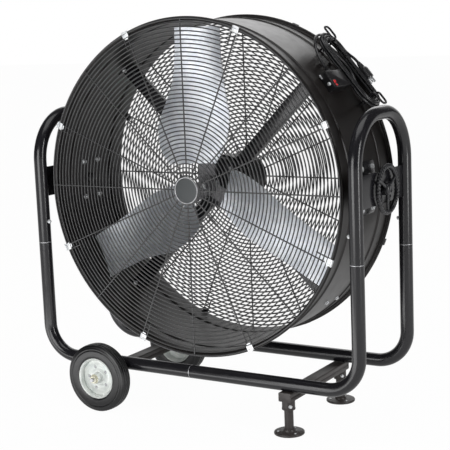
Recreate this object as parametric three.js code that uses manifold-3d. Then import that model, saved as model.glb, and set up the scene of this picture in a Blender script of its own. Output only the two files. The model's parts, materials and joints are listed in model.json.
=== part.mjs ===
// Mobile drum fan: a rolled steel drum with a direct-drive three-blade fan, tilting
// between two bent-tube arches on a base with two wheels and two fixed feet.
// Millimetres, +Z up. The fan blows towards -Y and the viewer's right is +X.
import * as THREE from 'three';
import { mergeVertices } from 'three/addons/utils/BufferGeometryUtils.js';
import Module from 'manifold-3d';

const wasm = await Module();
wasm.setup();

// ---- driving sizes, mm ----
const gap = 0.3;                 // air left between faces that meet

const tubeDiameter = 38.1;       // frame tube, 1 1/2 in
const tubeWall = 1.9;
const spigotLength = 60;         // swaged end that slides into the next tube
const archStandOff = 50;         // middle plane of each arch from the drum's wall
const legSpacing = 322;          // between front and rear legs
const archRise = 206.5;          // arch centreline above the pivot
const archBendRadius = 137;
const baseBendRadius = 95;
const drumClearance = 23.75;     // from the base tubes up to the drum's rims
const pivotSetback = 13;         // tilt axis behind the middle of the frame
const baseTubeLift = 38;         // base tube centreline above the axle
const seamHeight = 488.5;        // where the arch meets the base tubes
const centreSeam = -9;           // where left and right base tubes meet

const crossbarOffset = 305;      // crossbars left and right of the middle
const crossbarWidth = 38;
const crossbarDepth = 25.4;
const crossbarWall = 3;
const crossbarOverhang = 2.95;   // crossbar ends past the base tubes

const footPlateDiameter = 85;
const footPlateThickness = 7;
const footPostDiameter = 25.4;
const footPostWall = 3;
const footSocketDiameter = 38;
const footSocketLength = 26;
const footPostInsert = 20;       // post length inside its socket
const footCollarHeight = 6;

const wheelRadius = 101.6;       // 8 in wheel
const wheelWidth = 44;
const tyreSeatRadius = 61;
const tyreFoot = 5;              // sidewall's foot out from the seat
const tyreShoulder = 9;          // depth of the rounded shoulders
const tyreEdge = 3;
const tyreGroove = 2.5;
const rimWall = 3;
const rimLip = 7;                // depth of the rolled rim edge
const rimWidth = 40;
const hubRadius = 15;
const hubLength = 49;
const webOffset = 4;             // pressed web, out from the wheel's middle
const bushingWall = 3.4;
const axleDiameter = 12.7;
const axleEnd = 16;              // axle length past each wheel hub
const axleNutAcross = 22;
const axleNutHeight = 9;
const wheelClearance = 4;        // crossbar end to wheel hub

const drumDepth = 333;           // rolled shell, rim to rim
const shellRadius = 472;         // outside of the drum wall
const rimHeight = 10.6;          // rolled rims proud of the wall
const shellThickness = 2.2;
const rimBead = 9;               // axial width of each rolled rim
const rimRound = 3;
const swageOffset = 96;          // stiffening swages ahead of and behind the drum's middle
const swageHeight = 3.5;
const swageWidth = 14;

const grilleInset = 5.6;         // grille's rim wire inside the drum's rims
const grilleWire = 4.6;
const grilleSpokes = 16;
const grilleRings = 2;           // rings between the centre ring and the rim ring
const grilleCentreRadius = 41;
const badgeRadius = 38.5;
const badgeThickness = 5;

const pivotPlateHeight = 89;
const pivotPlateThickness = 5;
const pivotPlateLift = 6;        // plate's middle above the pivot
const pivotBoltDiameter = 16;
const pivotBoltHead = 6;
const pivotBoltEnd = 4;          // thread past the lock nut
const handwheelBottom = 1;       // bolt's end to the bottom of the handwheel's bore
const bracketWidth = 104;        // along the drum's axis
const bracketHeight = 146;
const bracketThickness = 5;
const bracketBossDiameter = 62;
const frictionDiscDiameter = 70;
const frictionDiscThickness = 3;

const handwheelDiameter = 140;
const handwheelRimDiameter = 15;
const handwheelHubDiameter = 38;
const handwheelHubLength = 20;
const handwheelCap = 5;          // closed end of the hub over the bolt
const handwheelSpokes = 3;
const handwheelSpokeWidth = 12;
const handwheelLobes = 20;       // grip lobes round the rim
const pivotNutAcross = 27;
const pivotNutHeight = 13;

const motorRadius = 73;
const motorLength = 173;
const motorInset = 1.5;          // motor's rear end inside the drum's rear rim
const bellDepth = 20;
const bellCrown = 14;            // flat face of each bell inside the motor's radius
const bellBevel = 12;            // depth of the slope from that face to the bell's side
const bearingSeatWall = 6;
const sealClearance = 3;         // bell's hole round the shaft
const motorWall = 4;
const rotorCoreRadius = 36;
const motorAirGap = 0.8;
const statorThickness = 28;
const bearingRadius = 17.5;
const bearingLength = 12;
const shaftDiameter = 16;
const mountFromRear = 118;       // motor arms ahead of the motor's rear end
const mountRingThickness = 9;
const mountRingLength = 34;
const mountArmWidth = 40;
const mountArmDepth = 22;
const mountArmWall = 3;
const mountPadThickness = 8;     // foot of each arm against the drum's wall

const bladeCount = 3;
const bladeThickness = 2.5;
const bladeRoot = 64;
const bladeTipClearance = 17.8;  // blade tip to the drum's wall
const bladeLead = 120;           // widest reach of the edge that goes ahead
const bladeTrail = 72;           // widest reach of the edge behind
const bladeFront = 114;          // blades' reach ahead of the motor's front end
const bladeRear = 36;
const bladeCamber = 9;
const firstBladeAngle = 90;      // degrees up from +X
const fanHubRadius = 30;
const fanHubLength = 48;
const fanHubGap = 20;            // motor's front end to the hub
const shaftPastHub = 5;
const hubArmReach = 118;
const hubArmHalfWidth = 22;
const hubArmThickness = 4;
const hubArmClearance = 1.7;     // sealant between each arm and its blade

const boxAngle = 37;             // switch box, degrees up from +X round the drum
const boxFront = -51;            // along the drum's axis from its middle
const boxLength = 93;
const boxWidth = 54;
const boxSink = 1;               // box sides run this far into the wall's circle before they are cut
const boxDepth = 29;
const boxWall = 2.5;
const rockerWidth = 11;          // along the drum's axis
const rockerLength = 18;         // round the drum
const rockerRise = 20;           // rise of each end over the pivot, degrees
const rockerTilt = 8;            // lean to either side, degrees
const rockerFromFront = 8;
const rockerOffset = -15;        // round the drum from the box's middle

const cordDiameter = 8;
const cordPitch = 8.9;           // strand to strand in the hank
const hankAngle = 39.5;          // middle of the hank round the drum, degrees
const hankCentre = 97;           // behind the drum's middle
const hankHalfRun = 80;          // middle of the hank to each fold's centre
const hankFoldRadius = 50;       // outermost fold
const hankStart = 1 + 1 / 120;   // turns counted from the top of the far run
const hankReversal = 3 + 7 / 12; // middle of the near run, where the winding climbs a layer
const hankEnd = 6 + 1 / 120;     // on the far run again
const hankBow = 27;              // slack of the climbing run, inwards
const runShare = 1 / 3;          // share of each half turn that is the straight run
const hankLift = 21;             // first layer from the drum's wall
const stepsPerTurn = 24;
const hookWire = 6;
const hookLegSpacing = 27;
const hookLegOffset = 96;        // hook legs from the middle of the hank
const hookHeight = 48;           // turned end of the hook from the drum's wall
const hookTurnedLength = 42;
const glandDiameter = 15;
const glandFromFront = 46;       // gland from the box's front, on its upper side
const glandLength = 24;
const plugLength = 36;
const plugWidth = 24;
const plugThickness = 21;
const plugBladeLength = 17;
const plugBladeSpacing = 12.7;
const plugBladeThickness = 1.6;
const plugBladeWidth = 6.4;
const plugEarthRadius = 2.4;
const plugReliefLength = 20;
const plugCordDepth = 8;         // cord end inside the relief

// ---- finishes ----
const paint = { color: 0x1c1c1e, roughness: 0.45, metalness: 0.2 };
const satinPaint = { color: 0x242322, roughness: 0.55, metalness: 0.2 };
const zinc = { color: 0xc9cfce, roughness: 0.35, metalness: 0.9 };
const yellowZinc = { color: 0xc2b68c, roughness: 0.35, metalness: 0.9 };
const aluminium = { color: 0xb9c0c6, roughness: 0.4, metalness: 0.9 };
const steel = { color: 0x8d9093, roughness: 0.35, metalness: 0.9 };
const rubber = { color: 0x161617, roughness: 0.8, metalness: 0 };
const plastic = { color: 0x202022, roughness: 0.5, metalness: 0 };
const motorPaint = { color: 0x34373a, roughness: 0.5, metalness: 0.2 };
const bronze = { color: 0x9a7b45, roughness: 0.4, metalness: 0.9 };
const fibre = { color: 0x4a3a30, roughness: 0.8, metalness: 0 };
const redPlastic = { color: 0xb01f22, roughness: 0.4, metalness: 0 };

// ---- small helpers ----
const radians = THREE.MathUtils.degToRad;

function addPart(parent, name, geometry, finish) {
  const mesh = new THREE.Mesh(geometry, new THREE.MeshStandardMaterial(finish));
  mesh.name = name;
  parent.add(mesh);
  return mesh;
}

function welded(geometry) {
  const bare = geometry.clone();
  bare.deleteAttribute('normal');
  bare.deleteAttribute('uv');
  return mergeVertices(bare, 1e-4);
}

function toSolid(geometry) {
  const bare = welded(geometry);
  return new wasm.Manifold(new wasm.Mesh({
    numProp: 3,
    vertProperties: new Float32Array(bare.attributes.position.array),
    triVerts: new Uint32Array(bare.index.array),
  }));
}

function toGeometry(solid) {
  const mesh = solid.getMesh();
  const geometry = new THREE.BufferGeometry();
  geometry.setAttribute('position', new THREE.BufferAttribute(new Float32Array(mesh.vertProperties), 3));
  geometry.setIndex(new THREE.BufferAttribute(new Uint32Array(mesh.triVerts), 1));
  geometry.computeVertexNormals();
  return geometry;
}

function join(...geometries) {
  return toGeometry(geometries.map(toSolid).reduce((sum, next) => sum.add(next)));
}

function cut(body, ...tools) {
  return toGeometry(tools.map(toSolid).reduce((left, tool) => left.subtract(tool), toSolid(body)));
}

function common(a, b) {
  return toGeometry(toSolid(a).intersect(toSolid(b)));
}

// closed profile of [radius, along] pairs turned about +Y, faces out whichever way it runs
function turned(profile, segments = 32) {
  let area = 0;
  profile.forEach(([r, y], i) => {
    const [nextR, nextY] = profile[(i + 1) % profile.length];
    area += r * nextY - nextR * y;
  });
  const ordered = area > 0 ? profile : [...profile].reverse();
  const points = ordered.map(([r, y]) => new THREE.Vector2(r, y));
  const onAxis = ordered[0][0] === 0 && ordered[ordered.length - 1][0] === 0;
  if (!onAxis) points.push(points[0].clone());
  return new THREE.LatheGeometry(points, segments);
}

function ring(inner, outer, from, to, segments) {
  return turned([[inner, from], [outer, from], [outer, to], [inner, to]], segments);
}

function rod(radius, from, to, segments) {
  return turned([[0, from], [radius, from], [radius, to], [0, to]], segments);
}

// turned about +Y, then laid along +X
const alongX = (geometry) => geometry.rotateZ(-Math.PI / 2);
const alongZ = (geometry) => geometry.rotateX(Math.PI / 2);

function hexagon(across, from, to) {
  return rod(across / Math.sqrt(3), from, to, 6);
}

function block(x0, x1, y0, y1, z0, z1) {
  const box = new THREE.BoxGeometry(x1 - x0, y1 - y0, z1 - z0);
  return box.translate((x0 + x1) / 2, (y0 + y1) / 2, (z0 + z1) / 2);
}

function circle(radius, sides, Shape = THREE.Shape) {
  const points = [];
  for (let i = 0; i < sides; i += 1) {
    const angle = (2 * Math.PI * i) / sides;
    points.push(new THREE.Vector2(radius * Math.cos(angle), radius * Math.sin(angle)));
  }
  return new Shape(points);
}

// a curve whose even steps land on its stations, so straight runs take one step
class StationCurve extends THREE.Curve {
  constructor(stations) {
    super();
    this.stations = stations;
  }

  getUtoTmapping(u) {
    return u;
  }

  getPoint(t) {
    const last = this.stations.length - 1;
    const place = Math.min(Math.max(t, 0), 1) * last;
    const index = Math.min(Math.floor(place), last - 1);
    return this.stations[index].clone().lerp(this.stations[index + 1], place - index);
  }

  getTangent(t) {
    const last = this.stations.length - 1;
    const index = Math.round(Math.min(Math.max(t, 0), 1) * last);
    const before = this.stations[Math.max(index - 1, 0)];
    const after = this.stations[Math.min(index + 1, last)];
    const here = this.stations[index];
    const incoming = here.clone().sub(before).normalize();
    const outgoing = after.clone().sub(here).normalize();
    return incoming.add(outgoing).normalize();
  }
}

function sweep(stations, section) {
  const curve = new StationCurve(stations);
  const steps = stations.length - 1;
  return new THREE.ExtrudeGeometry(section, { steps, bevelEnabled: false, extrudePath: curve });
}

// stations along straight runs joined by round bends at the corners
function bentStations(corners, radius, stepsPerBend) {
  const stations = [corners[0].clone()];
  for (let i = 1; i < corners.length - 1; i += 1) {
    const incoming = corners[i].clone().sub(corners[i - 1]).normalize();
    const outgoing = corners[i + 1].clone().sub(corners[i]).normalize();
    const turn = incoming.angleTo(outgoing);
    const setback = radius * Math.tan(turn / 2);
    const start = corners[i].clone().addScaledVector(incoming, -setback);
    const toCentre = outgoing.clone().addScaledVector(incoming, -Math.cos(turn)).normalize();
    const centre = start.clone().addScaledVector(toCentre, radius);
    for (let step = 0; step <= stepsPerBend; step += 1) {
      const angle = (turn * step) / stepsPerBend;
      stations.push(centre.clone()
        .addScaledVector(toCentre, -radius * Math.cos(angle))
        .addScaledVector(incoming, radius * Math.sin(angle)));
    }
  }
  stations.push(corners[corners.length - 1].clone());
  return stations;
}

function spread(from, to, count) {
  return Array.from({ length: count + 1 }, (_, i) => THREE.MathUtils.lerp(from, to, i / count));
}

const vector = (x, y, z) => new THREE.Vector3(x, y, z);

// ---- frame ----
const tubeRadius = tubeDiameter / 2;
const tubeBore = tubeRadius - tubeWall;
const tubeSides = 10;
const bendSteps = 5;
const archX = shellRadius + archStandOff;
const legY = legSpacing / 2;
const rimRadius = shellRadius + rimHeight;
const baseTubeHeight = wheelRadius + baseTubeLift;
const pivotHeight = baseTubeHeight + tubeRadius + drumClearance + rimRadius;

function tubeSection() {
  const section = circle(tubeRadius, tubeSides);
  section.holes.push(circle(tubeBore, tubeSides, THREE.Path));
  return section;
}

// swaged end: fills the tube's wall over the first part, then slides into the next tube
function spigot() {
  const rootRadius = tubeRadius - tubeWall / 3;
  const slideRadius = (tubeBore - gap) * Math.cos(Math.PI / tubeSides);
  const inner = slideRadius - tubeWall;
  return turned([
    [inner, -spigotLength], [slideRadius, -spigotLength], [slideRadius, gap / 2],
    [rootRadius, gap], [rootRadius, spigotLength / 3], [inner, spigotLength / 3],
  ], tubeSides);
}

function archTube() {
  const top = pivotHeight + archRise;
  const corners = [
    vector(0, -legY, seamHeight + gap), vector(0, -legY, top),
    vector(0, legY, top), vector(0, legY, seamHeight + gap),
  ];
  const tube = sweep(bentStations(corners, archBendRadius, bendSteps), tubeSection());
  const ends = [-legY, legY].map((y) => alongZ(spigot()).translate(0, y, seamHeight));
  return join(tube, ...ends);
}

function baseTube(side) {
  const seamX = centreSeam + (side * gap) / 2;
  const corners = [
    vector(side * archX, 0, seamHeight), vector(side * archX, 0, baseTubeHeight),
    vector(seamX, 0, baseTubeHeight),
  ];
  const tube = sweep(bentStations(corners, baseBendRadius, bendSteps), tubeSection());
  if (side > 0) return tube;
  const end = alongX(spigot()).rotateZ(Math.PI).translate(seamX - gap, 0, baseTubeHeight);
  return join(tube, end);
}

const crossbarLength = legSpacing + tubeDiameter + 2 * crossbarOverhang;
const crossbarTop = baseTubeHeight - tubeRadius - gap;
const crossbarBottom = crossbarTop - crossbarDepth;
const crossbarEnd = crossbarLength / 2;

// inverted channel under the base tubes, closed at both ends
function channel(endBottom) {
  const half = crossbarWidth / 2;
  const wall = crossbarWall;
  return [
    block(-half, half, -crossbarEnd, crossbarEnd, crossbarTop - wall, crossbarTop),
    block(-half, wall - half, -crossbarEnd, crossbarEnd, crossbarBottom, crossbarTop),
    block(half - wall, half, -crossbarEnd, crossbarEnd, crossbarBottom, crossbarTop),
    ...[-crossbarEnd, crossbarEnd - wall].map((y) => (
      block(-half, half, y, y + wall, endBottom, crossbarTop))),
  ];
}

function footCrossbar() {
  const half = crossbarWidth / 2;
  const reach = footSocketDiameter / 2 + crossbarWall;
  const closers = [-legY, legY].map((y) => block(
    -half, half, y - reach, y + reach, crossbarBottom, crossbarBottom + crossbarWall,
  ));
  return join(...channel(crossbarBottom), ...closers);
}

function axleCrossbar() {
  const body = join(...channel(wheelRadius - axleDiameter));
  const bore = rod(axleDiameter / 2 + gap, -crossbarLength, crossbarLength, 20);
  return cut(body, bore.translate(0, 0, wheelRadius));
}

const socketTop = crossbarBottom - gap;
const postTop = socketTop - footSocketLength + footPostInsert;

function footSocket() {
  const bore = footPostDiameter / 2 + gap;
  const outer = footSocketDiameter / 2;
  const bottom = socketTop - footSocketLength;
  const roof = postTop + gap;
  return alongZ(turned([
    [0, socketTop], [outer, socketTop], [outer, bottom], [bore, bottom], [bore, roof], [0, roof],
  ], 16));
}

function footPost() {
  const outer = footPostDiameter / 2;
  return alongZ(ring(outer - footPostWall, outer, footPlateThickness + gap, postTop, 16));
}

function footPlate() {
  const outer = footPlateDiameter / 2;
  const collarInner = footPostDiameter / 2 + gap;
  const collarOuter = collarInner + footPostWall;
  const chamfer = 1.5;
  return alongZ(turned([
    [0, 0], [outer, 0], [outer, footPlateThickness - chamfer], [outer - chamfer, footPlateThickness],
    [collarOuter, footPlateThickness], [collarOuter, footPlateThickness + footCollarHeight],
    [collarInner, footPlateThickness + footCollarHeight], [collarInner, footPlateThickness],
    [0, footPlateThickness],
  ], 20));
}

const frame = new THREE.Group();
for (const [side, sideName] of [[1, 'right'], [-1, 'left']]) {
  addPart(frame, `arch_tube_${sideName}`, archTube(), paint).position.x = side * archX;
  for (const [end, endName] of [[-1, 'front'], [1, 'rear']]) {
    addPart(frame, `base_tube_${endName}_${sideName}`, baseTube(side), paint).position.y = end * legY;
  }
}
addPart(frame, 'foot_crossbar', footCrossbar(), satinPaint).position.x = crossbarOffset;
addPart(frame, 'axle_crossbar', axleCrossbar(), satinPaint).position.x = -crossbarOffset;
for (const [end, endName] of [[-1, 'front'], [1, 'rear']]) {
  const foot = new THREE.Group();
  foot.position.set(crossbarOffset, end * legY, 0);
  frame.add(foot);
  addPart(foot, `foot_socket_${endName}`, footSocket(), satinPaint);
  addPart(foot, `foot_post_${endName}`, footPost(), satinPaint);
  addPart(foot, `foot_plate_${endName}`, footPlate(), satinPaint);
}

// ---- wheels ----
const hubInnerEnd = crossbarEnd + wheelClearance;
const wheelMiddle = hubInnerEnd + hubLength / 2;
const axleHalf = hubInnerEnd + hubLength + axleEnd;
const wheelSegments = 20;
const treadRadius = wheelRadius / Math.cos(Math.PI / wheelSegments); // corners of the flats

// round in flats, one of them down, with its sides drawn in to the rolled shoulders
function tyre() {
  const half = wheelWidth / 2;
  const seat = tyreSeatRadius + gap;
  const wallFoot = seat + tyreFoot;
  const shoulder = treadRadius - tyreShoulder;
  const edge = treadRadius - tyreEdge;
  const groove = treadRadius - tyreGroove;
  return turned([
    [seat, -rimWidth / 2], [wallFoot, -half], [shoulder, -half], [edge, -half * 0.72],
    [treadRadius, -half * 0.4], [groove, -half * 0.22], [treadRadius, 0],
    [groove, half * 0.22], [treadRadius, half * 0.4], [edge, half * 0.72],
    [shoulder, half], [wallFoot, half], [seat, rimWidth / 2],
  ], wheelSegments).rotateY(Math.PI / wheelSegments);
}

function wheelRim() {
  const bore = axleDiameter / 2 + gap + bushingWall + gap;
  const half = rimWidth / 2;
  const hubEnd = hubLength / 2;
  const well = tyreSeatRadius - rimLip;
  return turned([
    [bore, -hubEnd], [hubRadius, -hubEnd], [hubRadius, webOffset], [well, webOffset],
    [well, rimLip - half], [well + rimWall, -half], [tyreSeatRadius, -half],
    [tyreSeatRadius, half], [well + rimWall, half], [well, half - rimLip],
    [well, webOffset + rimWall], [hubRadius, webOffset + rimWall],
    [hubRadius, hubEnd], [bore, hubEnd],
  ], wheelSegments).rotateY(Math.PI / wheelSegments);
}

function wheelBushing() {
  const inner = axleDiameter / 2 + gap;
  return ring(inner, inner + bushingWall, -hubLength / 2, hubLength / 2, 16);
}

const axleGroup = new THREE.Group();
axleGroup.position.set(-crossbarOffset, 0, wheelRadius);
frame.add(axleGroup);
addPart(axleGroup, 'axle_rod', rod(axleDiameter / 2, -axleHalf, axleHalf, 20), steel);
for (const [end, endName] of [[-1, 'front'], [1, 'rear']]) {
  const wheel = new THREE.Group();
  wheel.position.y = end * wheelMiddle;
  wheel.rotation.z = end > 0 ? 0 : Math.PI;
  axleGroup.add(wheel);
  addPart(wheel, `wheel_tyre_${endName}`, tyre(), rubber);
  addPart(wheel, `wheel_rim_${endName}`, wheelRim(), zinc);
  addPart(wheel, `wheel_bushing_${endName}`, wheelBushing(), bronze);
  const nutStart = hubLength / 2 + gap;
  const nut = cut(
    hexagon(axleNutAcross, nutStart, nutStart + axleNutHeight),
    rod(axleDiameter / 2 + gap, 0, hubLength, 20),
  );
  addPart(wheel, `axle_nut_${endName}`, nut, yellowZinc);
}

// ---- pivots between the frame and the drum ----
const plateInner = archX - pivotPlateThickness / 2;
const plateOuter = archX + pivotPlateThickness / 2;
const discOuter = plateInner - gap;
const discInner = discOuter - frictionDiscThickness;
const bossOuter = discInner - gap;
const boltRadius = pivotBoltDiameter / 2;
const drumSegments = 40;
const wallFacet = Math.cos(Math.PI / drumSegments); // middle of a flat of the drum's wall
const shellInner = shellRadius - shellThickness;
const shellHalf = drumDepth / 2;

// everything here is modelled for the right side; the left side is turned half a turn about Z
function pivotPlate(lead) {
  const half = pivotPlateHeight / 2;
  const reach = legY - tubeRadius - gap;
  const plate = block(
    plateInner, plateOuter, -reach - lead, reach - lead, pivotPlateLift - half, pivotPlateLift + half,
  );
  return cut(plate, alongX(rod(boltRadius + gap, 0, plateOuter * 2, 20)));
}

function frictionDisc() {
  return alongX(ring(boltRadius + gap, frictionDiscDiameter / 2, discInner, discOuter, 16));
}

function pivotBracket() {
  const plateStart = shellRadius + gap;
  const half = bracketWidth / 2;
  const plate = block(
    plateStart, plateStart + bracketThickness, -half, half, -bracketHeight / 2, bracketHeight / 2,
  );
  const boss = alongX(rod(bracketBossDiameter / 2, plateStart + bracketThickness / 2, bossOuter, 20));
  const bore = alongX(rod(boltRadius + gap, plateStart - bracketThickness, bossOuter * 2, 20));
  return cut(join(plate, boss), bore);
}

const handwheelInner = plateOuter + gap;
const handwheelOuter = handwheelInner + handwheelHubLength;
const nutOuter = handwheelInner + pivotNutHeight;

// the bolt's head sits against the inside of the drum wall
function pivotBolt(end) {
  const headOuter = Math.sqrt((shellInner * wallFacet) ** 2 - (boltRadius * 2) ** 2) - gap;
  const thread = alongX(rod(boltRadius, headOuter - pivotBoltHead / 2, end, 20));
  const head = alongX(rod(boltRadius * 2, headOuter - pivotBoltHead, headOuter, 20));
  return join(thread, head);
}

// rim of round lobes about +X, thinner between them
function lobedRim(radius, thickness) {
  const sides = 5;
  const steps = handwheelLobes * 2;
  const positions = [];
  const index = [];
  for (let i = 0; i < steps; i += 1) {
    const angle = (2 * Math.PI * i) / steps;
    const round = (thickness / 2) * (i % 2 === 0 ? 1 : 0.8);
    for (let side = 0; side < sides; side += 1) {
      const around = (2 * Math.PI * side) / sides;
      const reach = radius + round * Math.cos(around);
      positions.push(round * Math.sin(around), reach * Math.cos(angle), reach * Math.sin(angle));
      const a = i * sides + side;
      const b = i * sides + ((side + 1) % sides);
      const c = ((i + 1) % steps) * sides + side;
      const d = ((i + 1) % steps) * sides + ((side + 1) % sides);
      index.push(a, c, b, b, c, d);
    }
  }
  const rim = new THREE.BufferGeometry();
  rim.setAttribute('position', new THREE.Float32BufferAttribute(positions, 3));
  rim.setIndex(index);
  return rim;
}

function handwheel() {
  const rimMiddle = handwheelInner + handwheelHubLength / 2;
  const rimCentre = (handwheelDiameter - handwheelRimDiameter) / 2;
  const rim = lobedRim(rimCentre, handwheelRimDiameter).translate(rimMiddle, 0, 0);
  const hub = alongX(rod(handwheelHubDiameter / 2, handwheelInner, handwheelOuter, 24));
  const spokes = [];
  for (let i = 0; i < handwheelSpokes; i += 1) {
    const half = handwheelSpokeWidth / 2;
    const thin = handwheelSpokeWidth / 4;
    const spoke = block(rimMiddle - thin, rimMiddle + thin, -half, half, boltRadius * 2, rimCentre);
    spokes.push(spoke.rotateX((2 * Math.PI * i) / handwheelSpokes + Math.PI));
  }
  const bore = alongX(rod(boltRadius + gap, 0, handwheelOuter - handwheelCap, 20));
  return cut(join(hub, rim, ...spokes), bore);
}

const pivots = new THREE.Group();
pivots.position.set(0, pivotSetback, pivotHeight);
frame.add(pivots);
const drum = new THREE.Group();
drum.position.set(0, pivotSetback, pivotHeight);
frame.add(drum);

for (const [side, sideName] of [[1, 'right'], [-1, 'left']]) {
  const turn = side > 0 ? 0 : Math.PI;
  addPart(pivots, `pivot_plate_${sideName}`, pivotPlate(side * pivotSetback), paint).rotation.z = turn;
  addPart(pivots, `friction_disc_${sideName}`, frictionDisc(), fibre).rotation.z = turn;
  addPart(drum, `pivot_bracket_${sideName}`, pivotBracket(), paint).rotation.z = turn;
  const boltEnd = side > 0 ? handwheelOuter - handwheelCap - handwheelBottom : nutOuter + pivotBoltEnd;
  addPart(drum, `pivot_bolt_${sideName}`, pivotBolt(boltEnd), steel).rotation.z = turn;
}
addPart(pivots, 'tilt_handwheel', handwheel(), plastic);
const pivotNut = cut(
  alongX(hexagon(pivotNutAcross, handwheelInner, nutOuter)),
  alongX(rod(boltRadius + gap, handwheelInner - gap, nutOuter + gap, 20)),
);
addPart(pivots, 'pivot_nut_left', pivotNut, steel).rotation.z = Math.PI;

// ---- drum shell and grilles ----

function drumShell() {
  const swage = (middle) => [
    [shellRadius, middle - swageWidth / 2], [shellRadius + swageHeight, middle],
    [shellRadius, middle + swageWidth / 2],
  ];
  const bead = (end) => [
    [shellRadius, end * (shellHalf - rimBead)],
    [rimRadius, end * (shellHalf - rimBead)],
    [rimRadius, end * (shellHalf - rimRound)],
    [rimRadius - rimRound, end * shellHalf],
  ];
  const shell = turned([
    [shellInner, -shellHalf], ...bead(-1).reverse(), ...swage(-swageOffset), ...swage(swageOffset),
    ...bead(1), [shellInner, shellHalf],
  ], drumSegments);
  const boltHoles = alongX(rod(boltRadius + gap, -rimRadius, rimRadius, 20));
  return cut(shell, boltHoles);
}

// flat guard of rings and spokes: a disc with every opening between them cut out
function grille(centreRadius) {
  const grilleRadius = rimRadius - grilleInset;
  const half = grilleWire / 2;
  const pitch = (grilleRadius - centreRadius) / (grilleRings + 1);
  const arc = (radius, spoke, steps) => {
    const gapAngle = (2 * Math.PI) / grilleSpokes;
    const trim = Math.asin(half / radius);
    return spread(0, 1, steps).map((share) => {
      const angle = gapAngle * spoke + THREE.MathUtils.clamp(gapAngle * share, trim, gapAngle - trim);
      return new THREE.Vector2(radius * Math.cos(angle), radius * Math.sin(angle));
    });
  };
  const openings = [];
  for (let i = 0; i <= grilleRings; i += 1) {
    const inner = centreRadius + pitch * i;
    const outer = centreRadius + pitch * (i + 1) - grilleWire;
    const steps = i === grilleRings ? 2 : 1;
    for (let spoke = 0; spoke < grilleSpokes; spoke += 1) {
      const outline = new THREE.Shape([...arc(inner, spoke, 1), ...arc(outer, spoke, steps).reverse()]);
      const opening = new THREE.ExtrudeGeometry(outline, { depth: grilleWire * 3, bevelEnabled: false });
      openings.push(opening.translate(0, 0, -grilleWire));
    }
  }
  const rim = circle(grilleRadius, grilleSpokes * 2);
  const disc = new THREE.ExtrudeGeometry(rim, { depth: grilleWire, bevelEnabled: false });
  return cut(disc, ...openings).rotateX(Math.PI / 2);
}

const frontGrilleFace = -shellHalf - gap;
const rearGrilleFace = shellHalf + gap;
addPart(drum, 'drum_shell', drumShell(), paint);
addPart(drum, 'front_grille', grille(grilleCentreRadius), paint).position.y = frontGrilleFace;
addPart(drum, 'rear_grille', grille(grilleCentreRadius), paint).position.y = rearGrilleFace + grilleWire;

function badge() {
  const rear = frontGrilleFace - grilleWire - gap;
  const face = rear - badgeThickness;
  const bevel = 2;
  return turned([
    [0, rear], [badgeRadius - bevel, rear], [badgeRadius, rear - bevel], [badgeRadius, face + bevel],
    [badgeRadius - bevel, face], [badgeRadius - 2 * bevel, face + 1], [0, face + 1],
  ], 24);
}
addPart(drum, 'centre_badge', badge(), satinPaint);

// ---- motor and its mount ----
const motorRear = shellHalf - motorInset;
const motorFront = motorRear - motorLength;
const mountOffset = motorRear - mountFromRear;
const shellFrontY = motorFront + bellDepth;
const shellRearY = motorRear - bellDepth;
const motorInner = motorRadius - motorWall;
const shaftRadius = shaftDiameter / 2;
const bearingSeat = bearingRadius + gap;
const bearingEdge = 4;
const motorSegments = 20;

function motorBell(end) {
  const bossInner = bellDepth - bearingLength - bearingEdge;
  const profile = [
    [shaftRadius + sealClearance, bellDepth], [motorRadius - bellCrown, bellDepth],
    [motorRadius, bellDepth - bellBevel], [motorRadius, gap / 2],
    [motorInner - bearingSeatWall, gap / 2], [bearingSeat + bearingSeatWall, bossInner],
    [bearingSeat, bossInner], [bearingSeat, bellDepth - bearingEdge],
    [shaftRadius + sealClearance, bellDepth - bearingEdge],
  ];
  const inner = end < 0 ? shellFrontY : shellRearY;
  return turned(profile.map(([r, y]) => [r, inner + end * y]), motorSegments);
}

function bearing(end) {
  const outerEnd = (end < 0 ? motorFront : motorRear) - end * (bearingEdge + gap);
  const innerEnd = outerEnd - end * (bearingLength - gap);
  const [from, to] = [innerEnd, outerEnd].sort((a, b) => a - b);
  return ring(shaftRadius + gap, bearingRadius, from, to, 16);
}

const coreMargin = 12;
const coreFront = shellFrontY + coreMargin;
const coreRear = shellRearY - coreMargin;

function stator() {
  const bore = rotorCoreRadius + motorAirGap;
  const outer = Math.min(bore + statorThickness, motorInner - gap);
  return ring(bore, outer, coreFront, coreRear, 20);
}

function motorMount() {
  const inner = motorRadius + gap;
  const front = mountOffset - mountRingLength / 2;
  const rear = mountOffset + mountRingLength / 2;
  const band = ring(inner, inner + mountRingThickness, front, rear, motorSegments);
  const armStart = inner + mountRingThickness / 2;
  const half = mountArmWidth / 2;
  const deep = mountArmDepth / 2;
  const arms = [];
  for (let i = 0; i < 4; i += 1) {
    const web = block(
      armStart, shellRadius, mountOffset - deep, mountOffset - deep + mountArmWall, -half, half,
    );
    const edges = [-half, half - mountArmWall].map((z) => block(
      armStart, shellRadius, mountOffset - deep, mountOffset + deep, z, z + mountArmWall,
    ));
    const pad = block(
      shellInner - mountPadThickness, shellRadius, mountOffset - deep, mountOffset + deep, -half, half,
    );
    arms.push(join(web, ...edges, pad).rotateY(-radians(45 + 90 * i)));
  }
  const reachLimit = rod(shellInner - gap / wallFacet, -shellHalf, shellHalf, drumSegments);
  return common(join(band, ...arms), reachLimit);
}

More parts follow.
